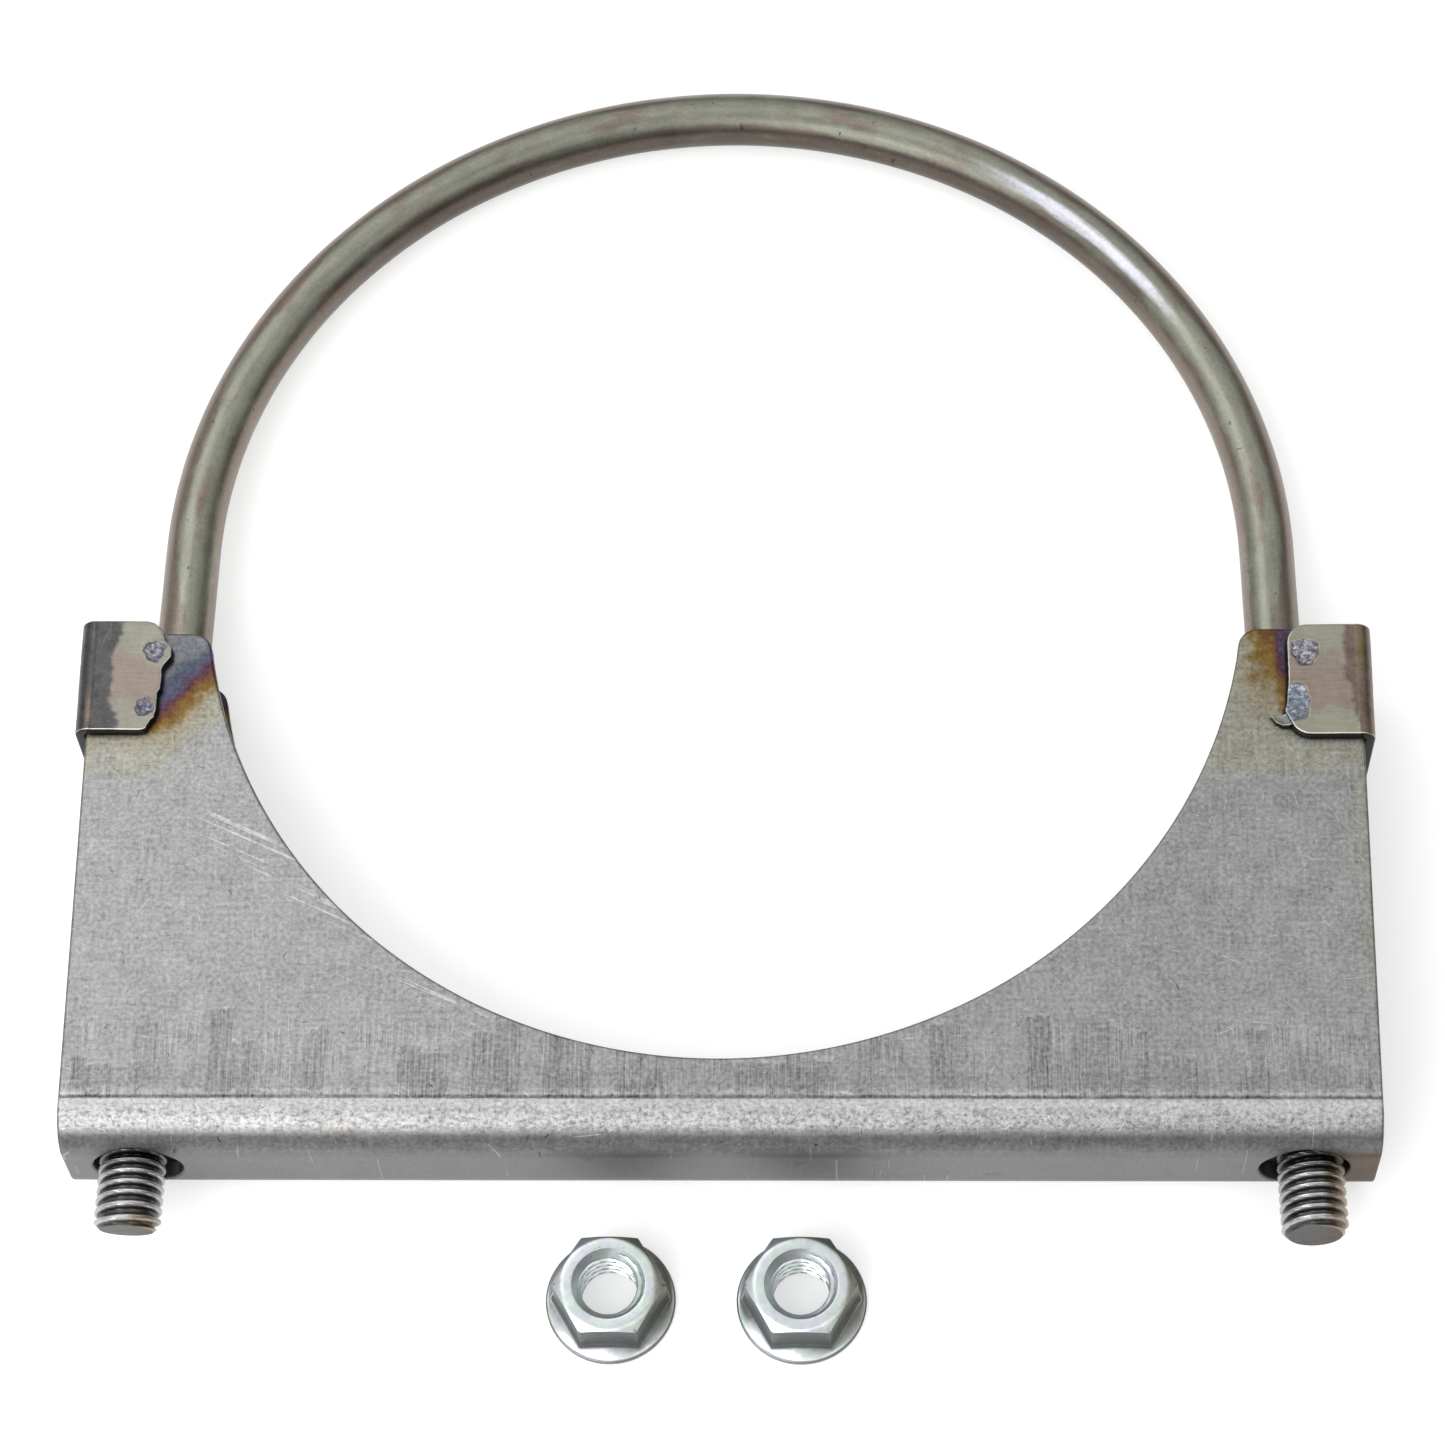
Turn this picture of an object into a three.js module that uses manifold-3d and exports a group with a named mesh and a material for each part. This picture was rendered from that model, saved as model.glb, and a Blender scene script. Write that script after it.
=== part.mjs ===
// U-bolt clamp for a 6 inch (152.4 mm) tube: a bent and threaded round rod, a folded sheet saddle
// with two guide straps spot-welded round its arm tips, and two hex flange nuts that lie loose
// beside it. The clamp lies on its back, as on a bench.
//
// Frame, in millimetres: the origin is the middle of the saddle web's outer face. +X runs along
// the web, +Y from the web towards the crown of the U-bolt, and +Z up from the bench.
import * as THREE from 'three';
import { mergeVertices } from 'three/addons/utils/BufferGeometryUtils.js';
import Module from 'manifold-3d';

const wasm = await Module();
wasm.setup();

// ---------------------------------------------------------------- driving dimensions (mm)
const TUBE_RADIUS = 76.2; // the 6 inch tube that the clamp closes on

// Saddle: one folded sheet, a web with two flanges
const SHEET = 2.5;
const SADDLE_LENGTH = 186;
const SADDLE_DEPTH = 21;
const BEND_OUTER_RADIUS = 6.35;
const ARM_TOP = 80; // height of the arm tips above the web's outer face
const TUBE_CENTRE = 88.9; // height of the seated tube's axis above the web's outer face
const ARM_INNER_CORNER = 3;
const ARM_OUTER_CORNER = 1;
const STUD_HOLE_DIAMETER = 12.7;
const STUD_HOLE_X = 82.6;

// U-bolt: 3/8-16 UNC rolled thread on a plain rod
const ROD_DIAMETER = 8.2;
const THREAD_MAJOR = 9.5;
const THREAD_MINOR = 7.75;
const THREAD_PITCH = 25.4 / 16;
const THREAD_TURNS = 19;
const STUD_CHAMFER = 0.9;
const STUD_ROOT_LENGTH = 3; // the part of each threaded end that is sunk in the rod
const STUD_ROOT_INSET = 0.2; // how far it lies under the rod's skin
const STUD_OVERLAP = 0.05; // how far the rod reaches over the thread's last turn
const BOW_RADIUS = 81.3; // centre line of the half circle
const BOW_CENTRE = 98.4;
const LEG_SPLAY = 0.021; // each leg leans outwards by this angle, in radians
const STUD_TIP = -9.95; // the cut ends, below the web's outer face

// How the loose U-bolt lies in the saddle: its crown droops towards the bench
const U_BOLT_SHIFT = 0.12;
const U_BOLT_LIFT = 0.4;
const U_BOLT_DROOP = 0.043;
const U_BOLT_TILT = 0.006;

// Guide straps: thin sheet wrapped round each arm tip
const STRAP_SHEET = 1.35;
const STRAP_GAP = 0.3; // daylight between strap and saddle
const STRAP_BEND = 2.3;
const STRAP_HEIGHT = 17.8;
const STRAP_INNER_EDGE = 82.2; // where the free edges of its flanges end, from the middle
const STRAP_FREE_CORNER = 3;
const LEFT_STRAP_BOTTOM = 63.1;
const RIGHT_STRAP_BOTTOM = 62.2;

// Nuts: 3/8-16 hex flange
const NUT_ACROSS_FLATS = 14.1;
const NUT_HEIGHT = 8.6;
const NUT_FLANGE_DIAMETER = 18.6;
const NUT_RIM = 1.1; // height of the flange's vertical rim
const NUT_RIM_CHAMFER = 0.3;
const NUT_SKIRT_TOP = 3; // where the flange's cone has run into the hexagon
const NUT_SKIRT_INSET = 0.4; // how far inside the flats the cone ends
const NUT_CHAMFER_ANGLE = Math.PI / 6;
const NUT_BORE = 8.0;
const NUT_THREAD_MAJOR = 9.6;
const NUT_COUNTERSINK = 10.2;
const NUT_THREAD_TURNS = 4;
const LEFT_NUT_X = -15.6;
const RIGHT_NUT_X = 11.6;
const NUT_Y = -15.9;

// The bench is under the rear flanges of the straps
const BENCH = -(SADDLE_DEPTH / 2 + STRAP_GAP + STRAP_SHEET);

// Facets
const ROD_SIDES = 16;
const ROD_STEPS = 84;
const BORE_SIDES = 24;
const NUT_SIDES = 48;
const HEX_SIDES = 6;
const BEND_FACETS = 8;
const CUTOUT_FACETS = 56;

const CUT_MARGIN = 5; // how far a cutting solid stands past what it cuts
const WELD_DISTANCE = 1e-4; // vertices closer than this are one

// ---------------------------------------------------------------- solids
function toSolid(geometry) {
  const bare = geometry.clone();
  bare.deleteAttribute('normal');
  bare.deleteAttribute('uv');
  const welded = mergeVertices(bare, WELD_DISTANCE);
  return new wasm.Manifold(
    new wasm.Mesh({
      numProp: 3,
      vertProperties: new Float32Array(welded.attributes.position.array),
      triVerts: new Uint32Array(welded.index.array),
    }),
  );
}

function toGeometry(solid) {
  const mesh = solid.getMesh();
  const geometry = new THREE.BufferGeometry();
  geometry.setAttribute('position', new THREE.BufferAttribute(mesh.vertProperties, 3));
  geometry.setIndex(new THREE.BufferAttribute(mesh.triVerts, 1));
  geometry.computeVertexNormals();
  return geometry;
}

// A flat outline in XY, given depth along Z and centred on Z = 0. Each arc of it has arcSteps facets.
function slab(outline, depth, arcSteps) {
  const geometry = new THREE.ExtrudeGeometry(outline, {
    depth,
    bevelEnabled: false,
    curveSegments: arcSteps / 2,
  });
  return geometry.translate(0, 0, -depth / 2);
}

// The same slab standing so that its depth runs along X: the outline's x becomes Y and its y, Z.
function slabAlongX(outline, depth, arcSteps) {
  return slab(outline, depth, arcSteps)
    .applyMatrix4(new THREE.Matrix4().makeBasis(
      new THREE.Vector3(0, 1, 0),
      new THREE.Vector3(0, 0, 1),
      new THREE.Vector3(1, 0, 0),
    ));
}

// The same slab with its depth along Y and turned half round: the outline's x becomes -X and its y, Z.
function slabAlongY(outline, depth, arcSteps) {
  return slab(outline, depth, arcSteps)
    .applyMatrix4(new THREE.Matrix4().makeBasis(
      new THREE.Vector3(-1, 0, 0),
      new THREE.Vector3(0, 0, 1),
      new THREE.Vector3(0, 1, 0),
    ));
}

// A channel section: open towards +x, its back at x = 0, bent with the given outer radius.
function channelSection(legLength, depth, sheet, outerRadius) {
  const half = depth / 2;
  const innerRadius = outerRadius - sheet;
  const section = new THREE.Shape();
  section.moveTo(legLength, -half);
  section.lineTo(legLength, -half + sheet);
  section.lineTo(outerRadius, -half + sheet);
  section.absarc(outerRadius, -half + outerRadius, innerRadius, -Math.PI / 2, -Math.PI, true);
  section.lineTo(sheet, half - outerRadius);
  section.absarc(outerRadius, half - outerRadius, innerRadius, Math.PI, Math.PI / 2, true);
  section.lineTo(legLength, half - sheet);
  section.lineTo(legLength, half);
  section.lineTo(outerRadius, half);
  section.absarc(outerRadius, half - outerRadius, outerRadius, Math.PI / 2, Math.PI, false);
  section.lineTo(0, -half + outerRadius);
  section.absarc(outerRadius, -half + outerRadius, outerRadius, Math.PI, 1.5 * Math.PI, false);
  section.lineTo(legLength, -half);
  return section;
}

// ---------------------------------------------------------------- saddle
// Half the width of the tube's cut-out at a height above the web.
function armInnerEdge(height) {
  return Math.sqrt(TUBE_RADIUS ** 2 - (TUBE_CENTRE - height) ** 2);
}

// The saddle's outline as seen from above, with the tube's arc cut out of it.
function saddleFace() {
  const half = SADDLE_LENGTH / 2;
  const cornerStart = ARM_TOP - ARM_INNER_CORNER;
  const innerX = armInnerEdge(cornerStart);
  const cutAngle = Math.atan2(cornerStart - TUBE_CENTRE, innerX);
  const face = new THREE.Shape();
  face.moveTo(-half, 0);
  face.lineTo(half, 0);
  face.lineTo(half, ARM_TOP - ARM_OUTER_CORNER);
  face.lineTo(half - ARM_OUTER_CORNER, ARM_TOP);
  face.lineTo(innerX + ARM_INNER_CORNER, ARM_TOP);
  face.absarc(innerX + ARM_INNER_CORNER, cornerStart, ARM_INNER_CORNER, Math.PI / 2, Math.PI, false);
  face.absarc(0, TUBE_CENTRE, TUBE_RADIUS, cutAngle, -Math.PI - cutAngle, true);
  face.absarc(-innerX - ARM_INNER_CORNER, cornerStart, ARM_INNER_CORNER, 0, Math.PI / 2, false);
  face.lineTo(-half + ARM_OUTER_CORNER, ARM_TOP);
  face.lineTo(-half, ARM_TOP - ARM_OUTER_CORNER);
  face.closePath();
  return face;
}

function saddleGeometry() {
  const section = channelSection(ARM_TOP + CUT_MARGIN, SADDLE_DEPTH, SHEET, BEND_OUTER_RADIUS);
  let solid = toSolid(slabAlongX(section, SADDLE_LENGTH + 2 * CUT_MARGIN, BEND_FACETS));
  solid = solid.intersect(
    toSolid(slab(saddleFace(), SADDLE_DEPTH + 2 * CUT_MARGIN, CUTOUT_FACETS)),
  );
  for (const side of [-1, 1]) {
    const punch = new THREE.CylinderGeometry(
      STUD_HOLE_DIAMETER / 2,
      STUD_HOLE_DIAMETER / 2,
      2 * CUT_MARGIN,
      BORE_SIDES,
    );
    punch.translate(side * STUD_HOLE_X, SHEET / 2, 0);
    solid = solid.subtract(toSolid(punch));
  }
  return toGeometry(solid);
}

// ---------------------------------------------------------------- U-bolt
// Centre line of the rod in its own plane: up one splayed leg, round the bow, down the other.
class BowCurve extends THREE.Curve {
  constructor(legBottom) {
    super();
    const tangentY = BOW_CENTRE + BOW_RADIUS * Math.sin(LEG_SPLAY);
    this.legLength = (tangentY - legBottom) / Math.cos(LEG_SPLAY);
    this.arcLength = BOW_RADIUS * (Math.PI - 2 * LEG_SPLAY);
    this.total = 2 * this.legLength + this.arcLength;
  }

  getPoint(t, target = new THREE.Vector3()) {
    const mirrored = t > 0.5;
    const along = (mirrored ? 1 - t : t) * this.total;
    const intoArc = Math.max(along - this.legLength, 0);
    const angle = LEG_SPLAY + intoArc / BOW_RADIUS;
    const downLeg = Math.max(this.legLength - along, 0);
    const x = BOW_RADIUS * Math.cos(angle) + downLeg * Math.sin(LEG_SPLAY);
    const y = BOW_CENTRE + BOW_RADIUS * Math.sin(angle) - downLeg * Math.cos(LEG_SPLAY);
    return target.set(mirrored ? -x : x, y, 0);
  }
}

// A threaded stud end along +Y from its cut face at y = 0, with rings at the thread's pitch.
function studGeometry() {
  const major = THREAD_MAJOR / 2;
  const minor = THREAD_MINOR / 2;
  const profile = [new THREE.Vector2(0, 0), new THREE.Vector2(major - STUD_CHAMFER, 0)];
  let y = STUD_CHAMFER;
  profile.push(new THREE.Vector2(major, y));
  for (let turn = 0; turn < THREAD_TURNS; turn += 1) {
    profile.push(new THREE.Vector2(minor, y + THREAD_PITCH / 2));
    y += THREAD_PITCH;
    profile.push(new THREE.Vector2(major, y));
  }
  const shoulder = y + (major - ROD_DIAMETER / 2);
  const root = ROD_DIAMETER / 2 - STUD_ROOT_INSET;
  profile.push(new THREE.Vector2(root, shoulder));
  profile.push(new THREE.Vector2(root, shoulder + STUD_ROOT_LENGTH));
  profile.push(new THREE.Vector2(0, shoulder + STUD_ROOT_LENGTH));
  return { geometry: new THREE.LatheGeometry(profile, ROD_SIDES), shoulder };
}

function uBoltGeometry() {
  const stud = studGeometry();
  const rodStart = STUD_TIP + stud.shoulder * Math.cos(LEG_SPLAY) - STUD_OVERLAP;
  const circle = new THREE.Shape();
  circle.absarc(0, 0, ROD_DIAMETER / 2, 0, 2 * Math.PI, false);
  const rod = new THREE.ExtrudeGeometry(circle, {
    extrudePath: new BowCurve(rodStart),
    steps: ROD_STEPS,
    curveSegments: ROD_SIDES / 2,
  });
  let solid = toSolid(rod);
  const tip = new BowCurve(STUD_TIP).getPoint(0);
  for (const side of [-1, 1]) {
    const placed = stud.geometry.clone();
    placed.rotateZ(side * LEG_SPLAY);
    placed.translate(side * tip.x, tip.y, 0);
    solid = solid.add(toSolid(placed));
  }
  return toGeometry(solid);
}

// ---------------------------------------------------------------- guide straps
// A strap round the right-hand arm tip, its bottom edge at y = 0.
function strapGeometry() {
  const outerX = SADDLE_LENGTH / 2 + STRAP_GAP + STRAP_SHEET;
  const reach = outerX - STRAP_INNER_EDGE;
  const depth = SADDLE_DEPTH + 2 * (STRAP_GAP + STRAP_SHEET);
  const section = channelSection(reach, depth, STRAP_SHEET, STRAP_BEND);
  const wrapped = slabAlongY(section, STRAP_HEIGHT, BEND_FACETS);
  wrapped.translate(outerX, STRAP_HEIGHT / 2, 0);
  const corner = STRAP_FREE_CORNER;
  const left = STRAP_INNER_EDGE;
  const right = outerX + CUT_MARGIN;
  const face = new THREE.Shape();
  face.moveTo(left + corner, 0);
  face.lineTo(right, 0);
  face.lineTo(right, STRAP_HEIGHT);
  face.lineTo(left + corner, STRAP_HEIGHT);
  face.absarc(left + corner, STRAP_HEIGHT - corner, corner, Math.PI / 2, Math.PI, false);
  face.lineTo(left, corner);
  face.absarc(left + corner, corner, corner, Math.PI, 1.5 * Math.PI, false);
  const outline = toSolid(slab(face, depth + 2 * CUT_MARGIN, BEND_FACETS));
  return toGeometry(toSolid(wrapped).intersect(outline));
}

// ---------------------------------------------------------------- nuts
// A hex flange nut standing on its bearing face at z = 0, threaded along +Z.
function nutGeometry() {
  const flatRadius = NUT_ACROSS_FLATS / 2;
  const cornerRadius = flatRadius / Math.cos(Math.PI / HEX_SIDES);
  const flangeRadius = NUT_FLANGE_DIAMETER / 2;

  const hexagon = new THREE.CylinderGeometry(cornerRadius, cornerRadius, NUT_HEIGHT, HEX_SIDES);
  hexagon.rotateX(Math.PI / 2);
  hexagon.rotateZ(Math.PI / HEX_SIDES);
  hexagon.translate(0, 0, NUT_HEIGHT / 2);

  // The chamfer's cone leaves a round top face as wide as the flats.
  const coneRadius = cornerRadius + CUT_MARGIN;
  const coneDrop = (coneRadius - flatRadius) * Math.tan(NUT_CHAMFER_ANGLE);
  const chamfer = new THREE.LatheGeometry(
    [
      new THREE.Vector2(0, -CUT_MARGIN),
      new THREE.Vector2(coneRadius, -CUT_MARGIN),
      new THREE.Vector2(coneRadius, NUT_HEIGHT - coneDrop),
      new THREE.Vector2(flatRadius, NUT_HEIGHT),
      new THREE.Vector2(0, NUT_HEIGHT),
    ],
    NUT_SIDES,
  ).rotateX(Math.PI / 2);
  const flange = new THREE.LatheGeometry(
    [
      new THREE.Vector2(0, 0),
      new THREE.Vector2(flangeRadius - NUT_RIM_CHAMFER, 0),
      new THREE.Vector2(flangeRadius, NUT_RIM_CHAMFER),
      new THREE.Vector2(flangeRadius, NUT_RIM),
      new THREE.Vector2(flatRadius - NUT_SKIRT_INSET, NUT_SKIRT_TOP),
      new THREE.Vector2(0, NUT_SKIRT_TOP),
    ],
    NUT_SIDES,
  ).rotateX(Math.PI / 2);

  // The threaded bore, with rings at the thread's pitch and a countersink at each end.
  const minor = NUT_BORE / 2;
  const major = NUT_THREAD_MAJOR / 2;
  const mouth = NUT_COUNTERSINK / 2;
  const bore = [
    new THREE.Vector2(0, -CUT_MARGIN),
    new THREE.Vector2(mouth, -CUT_MARGIN),
    new THREE.Vector2(mouth, 0),
  ];
  let z = mouth - minor;
  bore.push(new THREE.Vector2(minor, z));
  for (let turn = 0; turn < NUT_THREAD_TURNS; turn += 1) {
    bore.push(new THREE.Vector2(major, z + THREAD_PITCH / 2));
    z += THREAD_PITCH;
    bore.push(new THREE.Vector2(minor, z));
  }
  bore.push(new THREE.Vector2(minor, NUT_HEIGHT - (mouth - minor)));
  bore.push(new THREE.Vector2(mouth, NUT_HEIGHT));
  bore.push(new THREE.Vector2(mouth, NUT_HEIGHT + CUT_MARGIN));
  bore.push(new THREE.Vector2(0, NUT_HEIGHT + CUT_MARGIN));
  const hole = new THREE.LatheGeometry(bore, BORE_SIDES).rotateX(Math.PI / 2);

  const body = toSolid(hexagon).intersect(toSolid(chamfer));
  return toGeometry(body.add(toSolid(flange)).subtract(toSolid(hole)));
}

// ---------------------------------------------------------------- the assembly
const saddleSteel = new THREE.MeshStandardMaterial({ color: 0x9c9c9a, roughness: 0.5, metalness: 0.85 });
const rodSteel = new THREE.MeshStandardMaterial({ color: 0x857c72, roughness: 0.42, metalness: 0.85 });
const strapSteel = new THREE.MeshStandardMaterial({ color: 0x7d7a74, roughness: 0.45, metalness: 0.8 });
const zincPlate = new THREE.MeshStandardMaterial({ color: 0xb9c0c2, roughness: 0.3, metalness: 0.95 });

const clamp = new THREE.Group();

function addPiece(name, geometry, material) {
  const mesh = new THREE.Mesh(geometry, material.clone());
  mesh.name = name;
  clamp.add(mesh);
  return mesh;
}

addPiece('saddle', saddleGeometry(), saddleSteel);

const uBolt = addPiece('u_bolt', uBoltGeometry(), rodSteel);
uBolt.position.set(U_BOLT_SHIFT, 0, U_BOLT_LIFT);
uBolt.rotation.set(-U_BOLT_DROOP, U_BOLT_TILT, 0);

const strap = strapGeometry();
addPiece('right_guide_strap', strap, strapSteel).position.y = RIGHT_STRAP_BOTTOM;
const leftStrap = addPiece('left_guide_strap', strap, strapSteel);
leftStrap.rotation.y = Math.PI;
leftStrap.position.y = LEFT_STRAP_BOTTOM;

const nut = nutGeometry();
addPiece('left_flange_nut', nut, zincPlate).position.set(LEFT_NUT_X, NUT_Y, BENCH);
addPiece('right_flange_nut', nut, zincPlate).position.set(RIGHT_NUT_X, NUT_Y, BENCH);

export default clamp;
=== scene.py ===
"""U-bolt clamp for a 152.4 mm tube, lying on its back on a pale bench with its two flange nuts.

Every shape below is worked out in millimetres and scaled to metres when its mesh is made. The
frame is the CAD frame: the origin is the middle of the saddle web's outer face, +X along the web,
+Y towards the crown of the U-bolt, +Z up from the bench.
"""
import math

import bmesh
import bpy
import numpy as np
from mathutils import Matrix, Vector
from mathutils.geometry import delaunay_2d_cdt


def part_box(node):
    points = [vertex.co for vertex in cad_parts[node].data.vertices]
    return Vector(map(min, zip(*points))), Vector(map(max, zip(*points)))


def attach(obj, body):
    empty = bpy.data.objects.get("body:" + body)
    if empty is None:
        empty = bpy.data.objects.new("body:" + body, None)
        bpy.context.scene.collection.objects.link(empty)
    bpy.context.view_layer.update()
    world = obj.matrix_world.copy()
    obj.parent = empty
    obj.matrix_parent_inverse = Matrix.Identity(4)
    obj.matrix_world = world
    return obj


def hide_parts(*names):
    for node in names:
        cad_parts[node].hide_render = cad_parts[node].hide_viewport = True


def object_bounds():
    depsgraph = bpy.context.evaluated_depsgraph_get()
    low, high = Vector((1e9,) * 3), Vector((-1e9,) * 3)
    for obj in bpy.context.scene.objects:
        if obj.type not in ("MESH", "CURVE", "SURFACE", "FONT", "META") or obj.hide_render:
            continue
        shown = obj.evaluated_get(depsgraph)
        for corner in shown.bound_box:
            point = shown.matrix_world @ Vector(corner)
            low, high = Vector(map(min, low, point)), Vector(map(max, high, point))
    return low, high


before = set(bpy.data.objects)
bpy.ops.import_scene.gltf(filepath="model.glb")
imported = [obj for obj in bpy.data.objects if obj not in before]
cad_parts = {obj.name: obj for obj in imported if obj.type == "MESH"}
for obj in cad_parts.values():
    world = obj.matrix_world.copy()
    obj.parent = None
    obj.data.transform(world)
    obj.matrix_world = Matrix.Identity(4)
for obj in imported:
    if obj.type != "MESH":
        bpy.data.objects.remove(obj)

MM = 0.001
cad_low, cad_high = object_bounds()

# ---------------------------------------------------------------- sizes (mm)
TUBE_RADIUS = 76.2
TUBE_CENTRE = 88.9
SADDLE_SHEET = 2.5
SADDLE_BEND = 6.35
ARM_INNER_CORNER = 3.0
ARM_OUTER_CORNER = 1.0
ARM_TOP_TRIM = {-1: -0.5, 1: 0.0}  # the left arm is cut a little shorter
STUD_HOLE_RADIUS = 6.35
STUD_HOLE_X = 82.6
# The arms' meshes are finer beyond these, for the heat colours, and finest round the straps' edges.
TINTED_X = 73.0
TINTED_Y = 54.0
STRAP_EDGE_X = (79.5, 83.6)
STRAP_EDGE_Y = (61.4, 63.9)

ROD_RADIUS = 4.1
THREAD_MAJOR = 4.75
THREAD_MINOR = 3.9
THREAD_PITCH = 25.4 / 16
THREAD_LENGTH = 31.0
THREAD_RUNOUT = 3.0
THREAD_ROWS = 15  # mesh rows to a turn
STUD_CHAMFER = 0.9
BOW_RADIUS = 81.3
BOW_CENTRE = 98.4
LEG_SPLAY = 0.021
STUD_TIP = -9.95
SHEARED_TIP_ANGLE = math.radians(11)
ROD_SIDES = 72
END_RINGS = (0.96, 0.86, 0.7, 0.5, 0.28, 0.08)  # sizes of the rings over a sheared tip
U_BOLT_SHIFT = 0.12
U_BOLT_LIFT = 0.4
U_BOLT_DROOP = 0.043
U_BOLT_TILT = 0.006

STRAP_SHEET = 1.35
STRAP_BEND = 2.3
STRAP_CORNER = 3.0
FLASH_SIDES = 20

NUT_HEX = 14.1 / 2
NUT_HEX_CORNER = 0.4
NUT_CHAMFER_START = 6.7
NUT_CHAMFER_ANGLE = math.radians(30)
NUT_FLANGE = 18.6 / 2
NUT_RIM = 1.1
NUT_SKIRT_SLOPE = 0.717
NUT_BORE = 4.0
NUT_THREAD_MAJOR = 4.8
NUT_MOUTH = 5.25
NUT_RIM_ROUND = 0.28
# The side of the nuts that gets a yellowish painted shade, and how much of it each part takes.
NUT_SHADE_DIRECTION = math.radians(10)
NUT_SIDE_SHADE = {"thread": 0.0, "top": 0.0, "chamfer": 1.0, "flat": 1.0, "skirt": 1.0, "rim": 0.5}


def box_mm(node):
    """Lowest and highest corner of a CAD node, in millimetres."""
    low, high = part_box(node)
    return low / MM, high / MM


saddle_high = box_mm("saddle")[1]
SADDLE_HALF = saddle_high.x
SADDLE_HALF_DEPTH = saddle_high.z
ARM_TOP = saddle_high.y


# ---------------------------------------------------------------- number helpers
def smooth(value, start, end):
    """0 before start, 1 after end, with a soft turn at both."""
    t = np.clip((value - start) / (end - start), 0.0, 1.0)
    return t * t * (3.0 - 2.0 * t)


def bell(value, centre, width):
    return np.exp(-(((value - centre) / width) ** 2))


def plane_noise(x, y, seed=0):
    """Soft noise from -1 to 1 over a plane, one cell to a unit."""
    x = np.asarray(x, float)
    y = np.asarray(y, float)
    cell_x = np.floor(x)
    cell_y = np.floor(y)
    across = smooth(x - cell_x, 0.0, 1.0)
    up = smooth(y - cell_y, 0.0, 1.0)

    def corner(i, j):
        mixed = np.sin((cell_x + i) * 12.9898 + (cell_y + j) * 78.233 + seed * 37.719) * 4375.8545
        return 2.0 * (mixed - np.floor(mixed)) - 1.0

    lower = corner(0, 0) * (1 - across) + corner(1, 0) * across
    upper = corner(0, 1) * (1 - across) + corner(1, 1) * across
    return lower * (1 - up) + upper * up


ROUGH_PEAK = 1.75  # the most that rough_noise can reach


def rough_noise(x, y, seed=0):
    """Three octaves of plane_noise."""
    total = plane_noise(x, y, seed)
    total = total + 0.5 * plane_noise(2 * x, 2 * y, seed + 1)
    return total + 0.25 * plane_noise(4 * x, 4 * y, seed + 2)


# ---------------------------------------------------------------- mesh helpers
def add_object(name, data):
    made = bpy.data.objects.new(name, data)
    bpy.context.scene.collection.objects.link(made)
    return made


def new_piece(name, points, faces, attributes, sharp_angle=32):
    """A closed mesh object from points in mm, shaded smooth up to sharp_angle, with point values."""
    mesh = bpy.data.meshes.new(name)
    mesh.from_pydata((np.asarray(points) * MM).tolist(), [], faces)
    for key, values in attributes.items():
        layer = mesh.attributes.new(key, "FLOAT", "POINT")
        layer.data.foreach_set("value", np.asarray(values, np.float32))
    work = bmesh.new()
    work.from_mesh(mesh)
    bmesh.ops.recalc_face_normals(work, faces=work.faces)
    work.to_mesh(mesh)
    work.free()
    mesh.shade_smooth()
    mesh.set_sharp_from_angle(angle=math.radians(sharp_angle))
    return add_object(name, mesh)


def ring_faces(rows, sides, closed_rows=False):
    """Quads between rows of vertices, each row a closed ring of that many sides. The first and
    last row are capped, unless the rows close on themselves as well."""
    faces = []
    last = rows if closed_rows else rows - 1
    for row in range(last):
        base = row * sides
        above = ((row + 1) % rows) * sides
        for side in range(sides):
            beside = (side + 1) % sides
            faces.append((base + side, base + beside, above + beside, above + side))
    if not closed_rows:
        faces.append(tuple(range(sides)))
        faces.append(tuple(last * sides + i for i in range(sides)))
    return faces


def arc(centre, radius, start, end, steps):
    """Points round an arc, both ends included; angles in radians."""
    angles = np.linspace(start, end, steps + 1)
    return np.column_stack((
        centre[0] + radius * np.cos(angles),
        centre[1] + radius * np.sin(angles),
    ))


def line(start, end, step):
    """Points from start to just before end."""
    length = math.dist(start, end)
    count = max(1, round(length / step))
    t = np.arange(count)[:, None] / count
    return np.asarray(start) + t * (np.asarray(end) - np.asarray(start))


# ---------------------------------------------------------------- folded sheet
class Channel:
    """A channel folded from flat sheet. v runs along its outer skin from the middle of the back,
    w is the depth under that skin; a leg's points are away from the back, and across it."""

    def __init__(self, half_depth, radius):
        self.radius = radius
        self.back = half_depth - radius
        self.bend_end = self.back + radius * math.pi / 2

    def skin(self, away):
        """v of a point of a leg at that distance from the back."""
        return self.bend_end + away - self.radius

    def fold(self, v, w):
        reach = np.abs(v)
        turned = np.clip((reach - self.back) / self.radius, 0.0, math.pi / 2)
        turn_radius = self.radius - w
        straight = np.maximum(reach - self.bend_end, 0.0)
        away = self.radius - turn_radius * np.cos(turned) + straight
        across = np.sign(v) * (self.back + turn_radius * np.sin(turned))
        return away, np.where(reach < self.back, v, across)

    def rows(self, flat_end, flat_step, bend_steps):
        """v of the mesh rows of one leg and half of the back, close together round the bend."""
        back = np.linspace(0.0, self.back - 0.2, 3)
        bend = np.linspace(self.back, self.bend_end, bend_steps + 1)
        flat = np.arange(self.bend_end + flat_step, flat_end, flat_step)
        return np.concatenate((back, bend, [self.bend_end + 0.2], flat))


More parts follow.
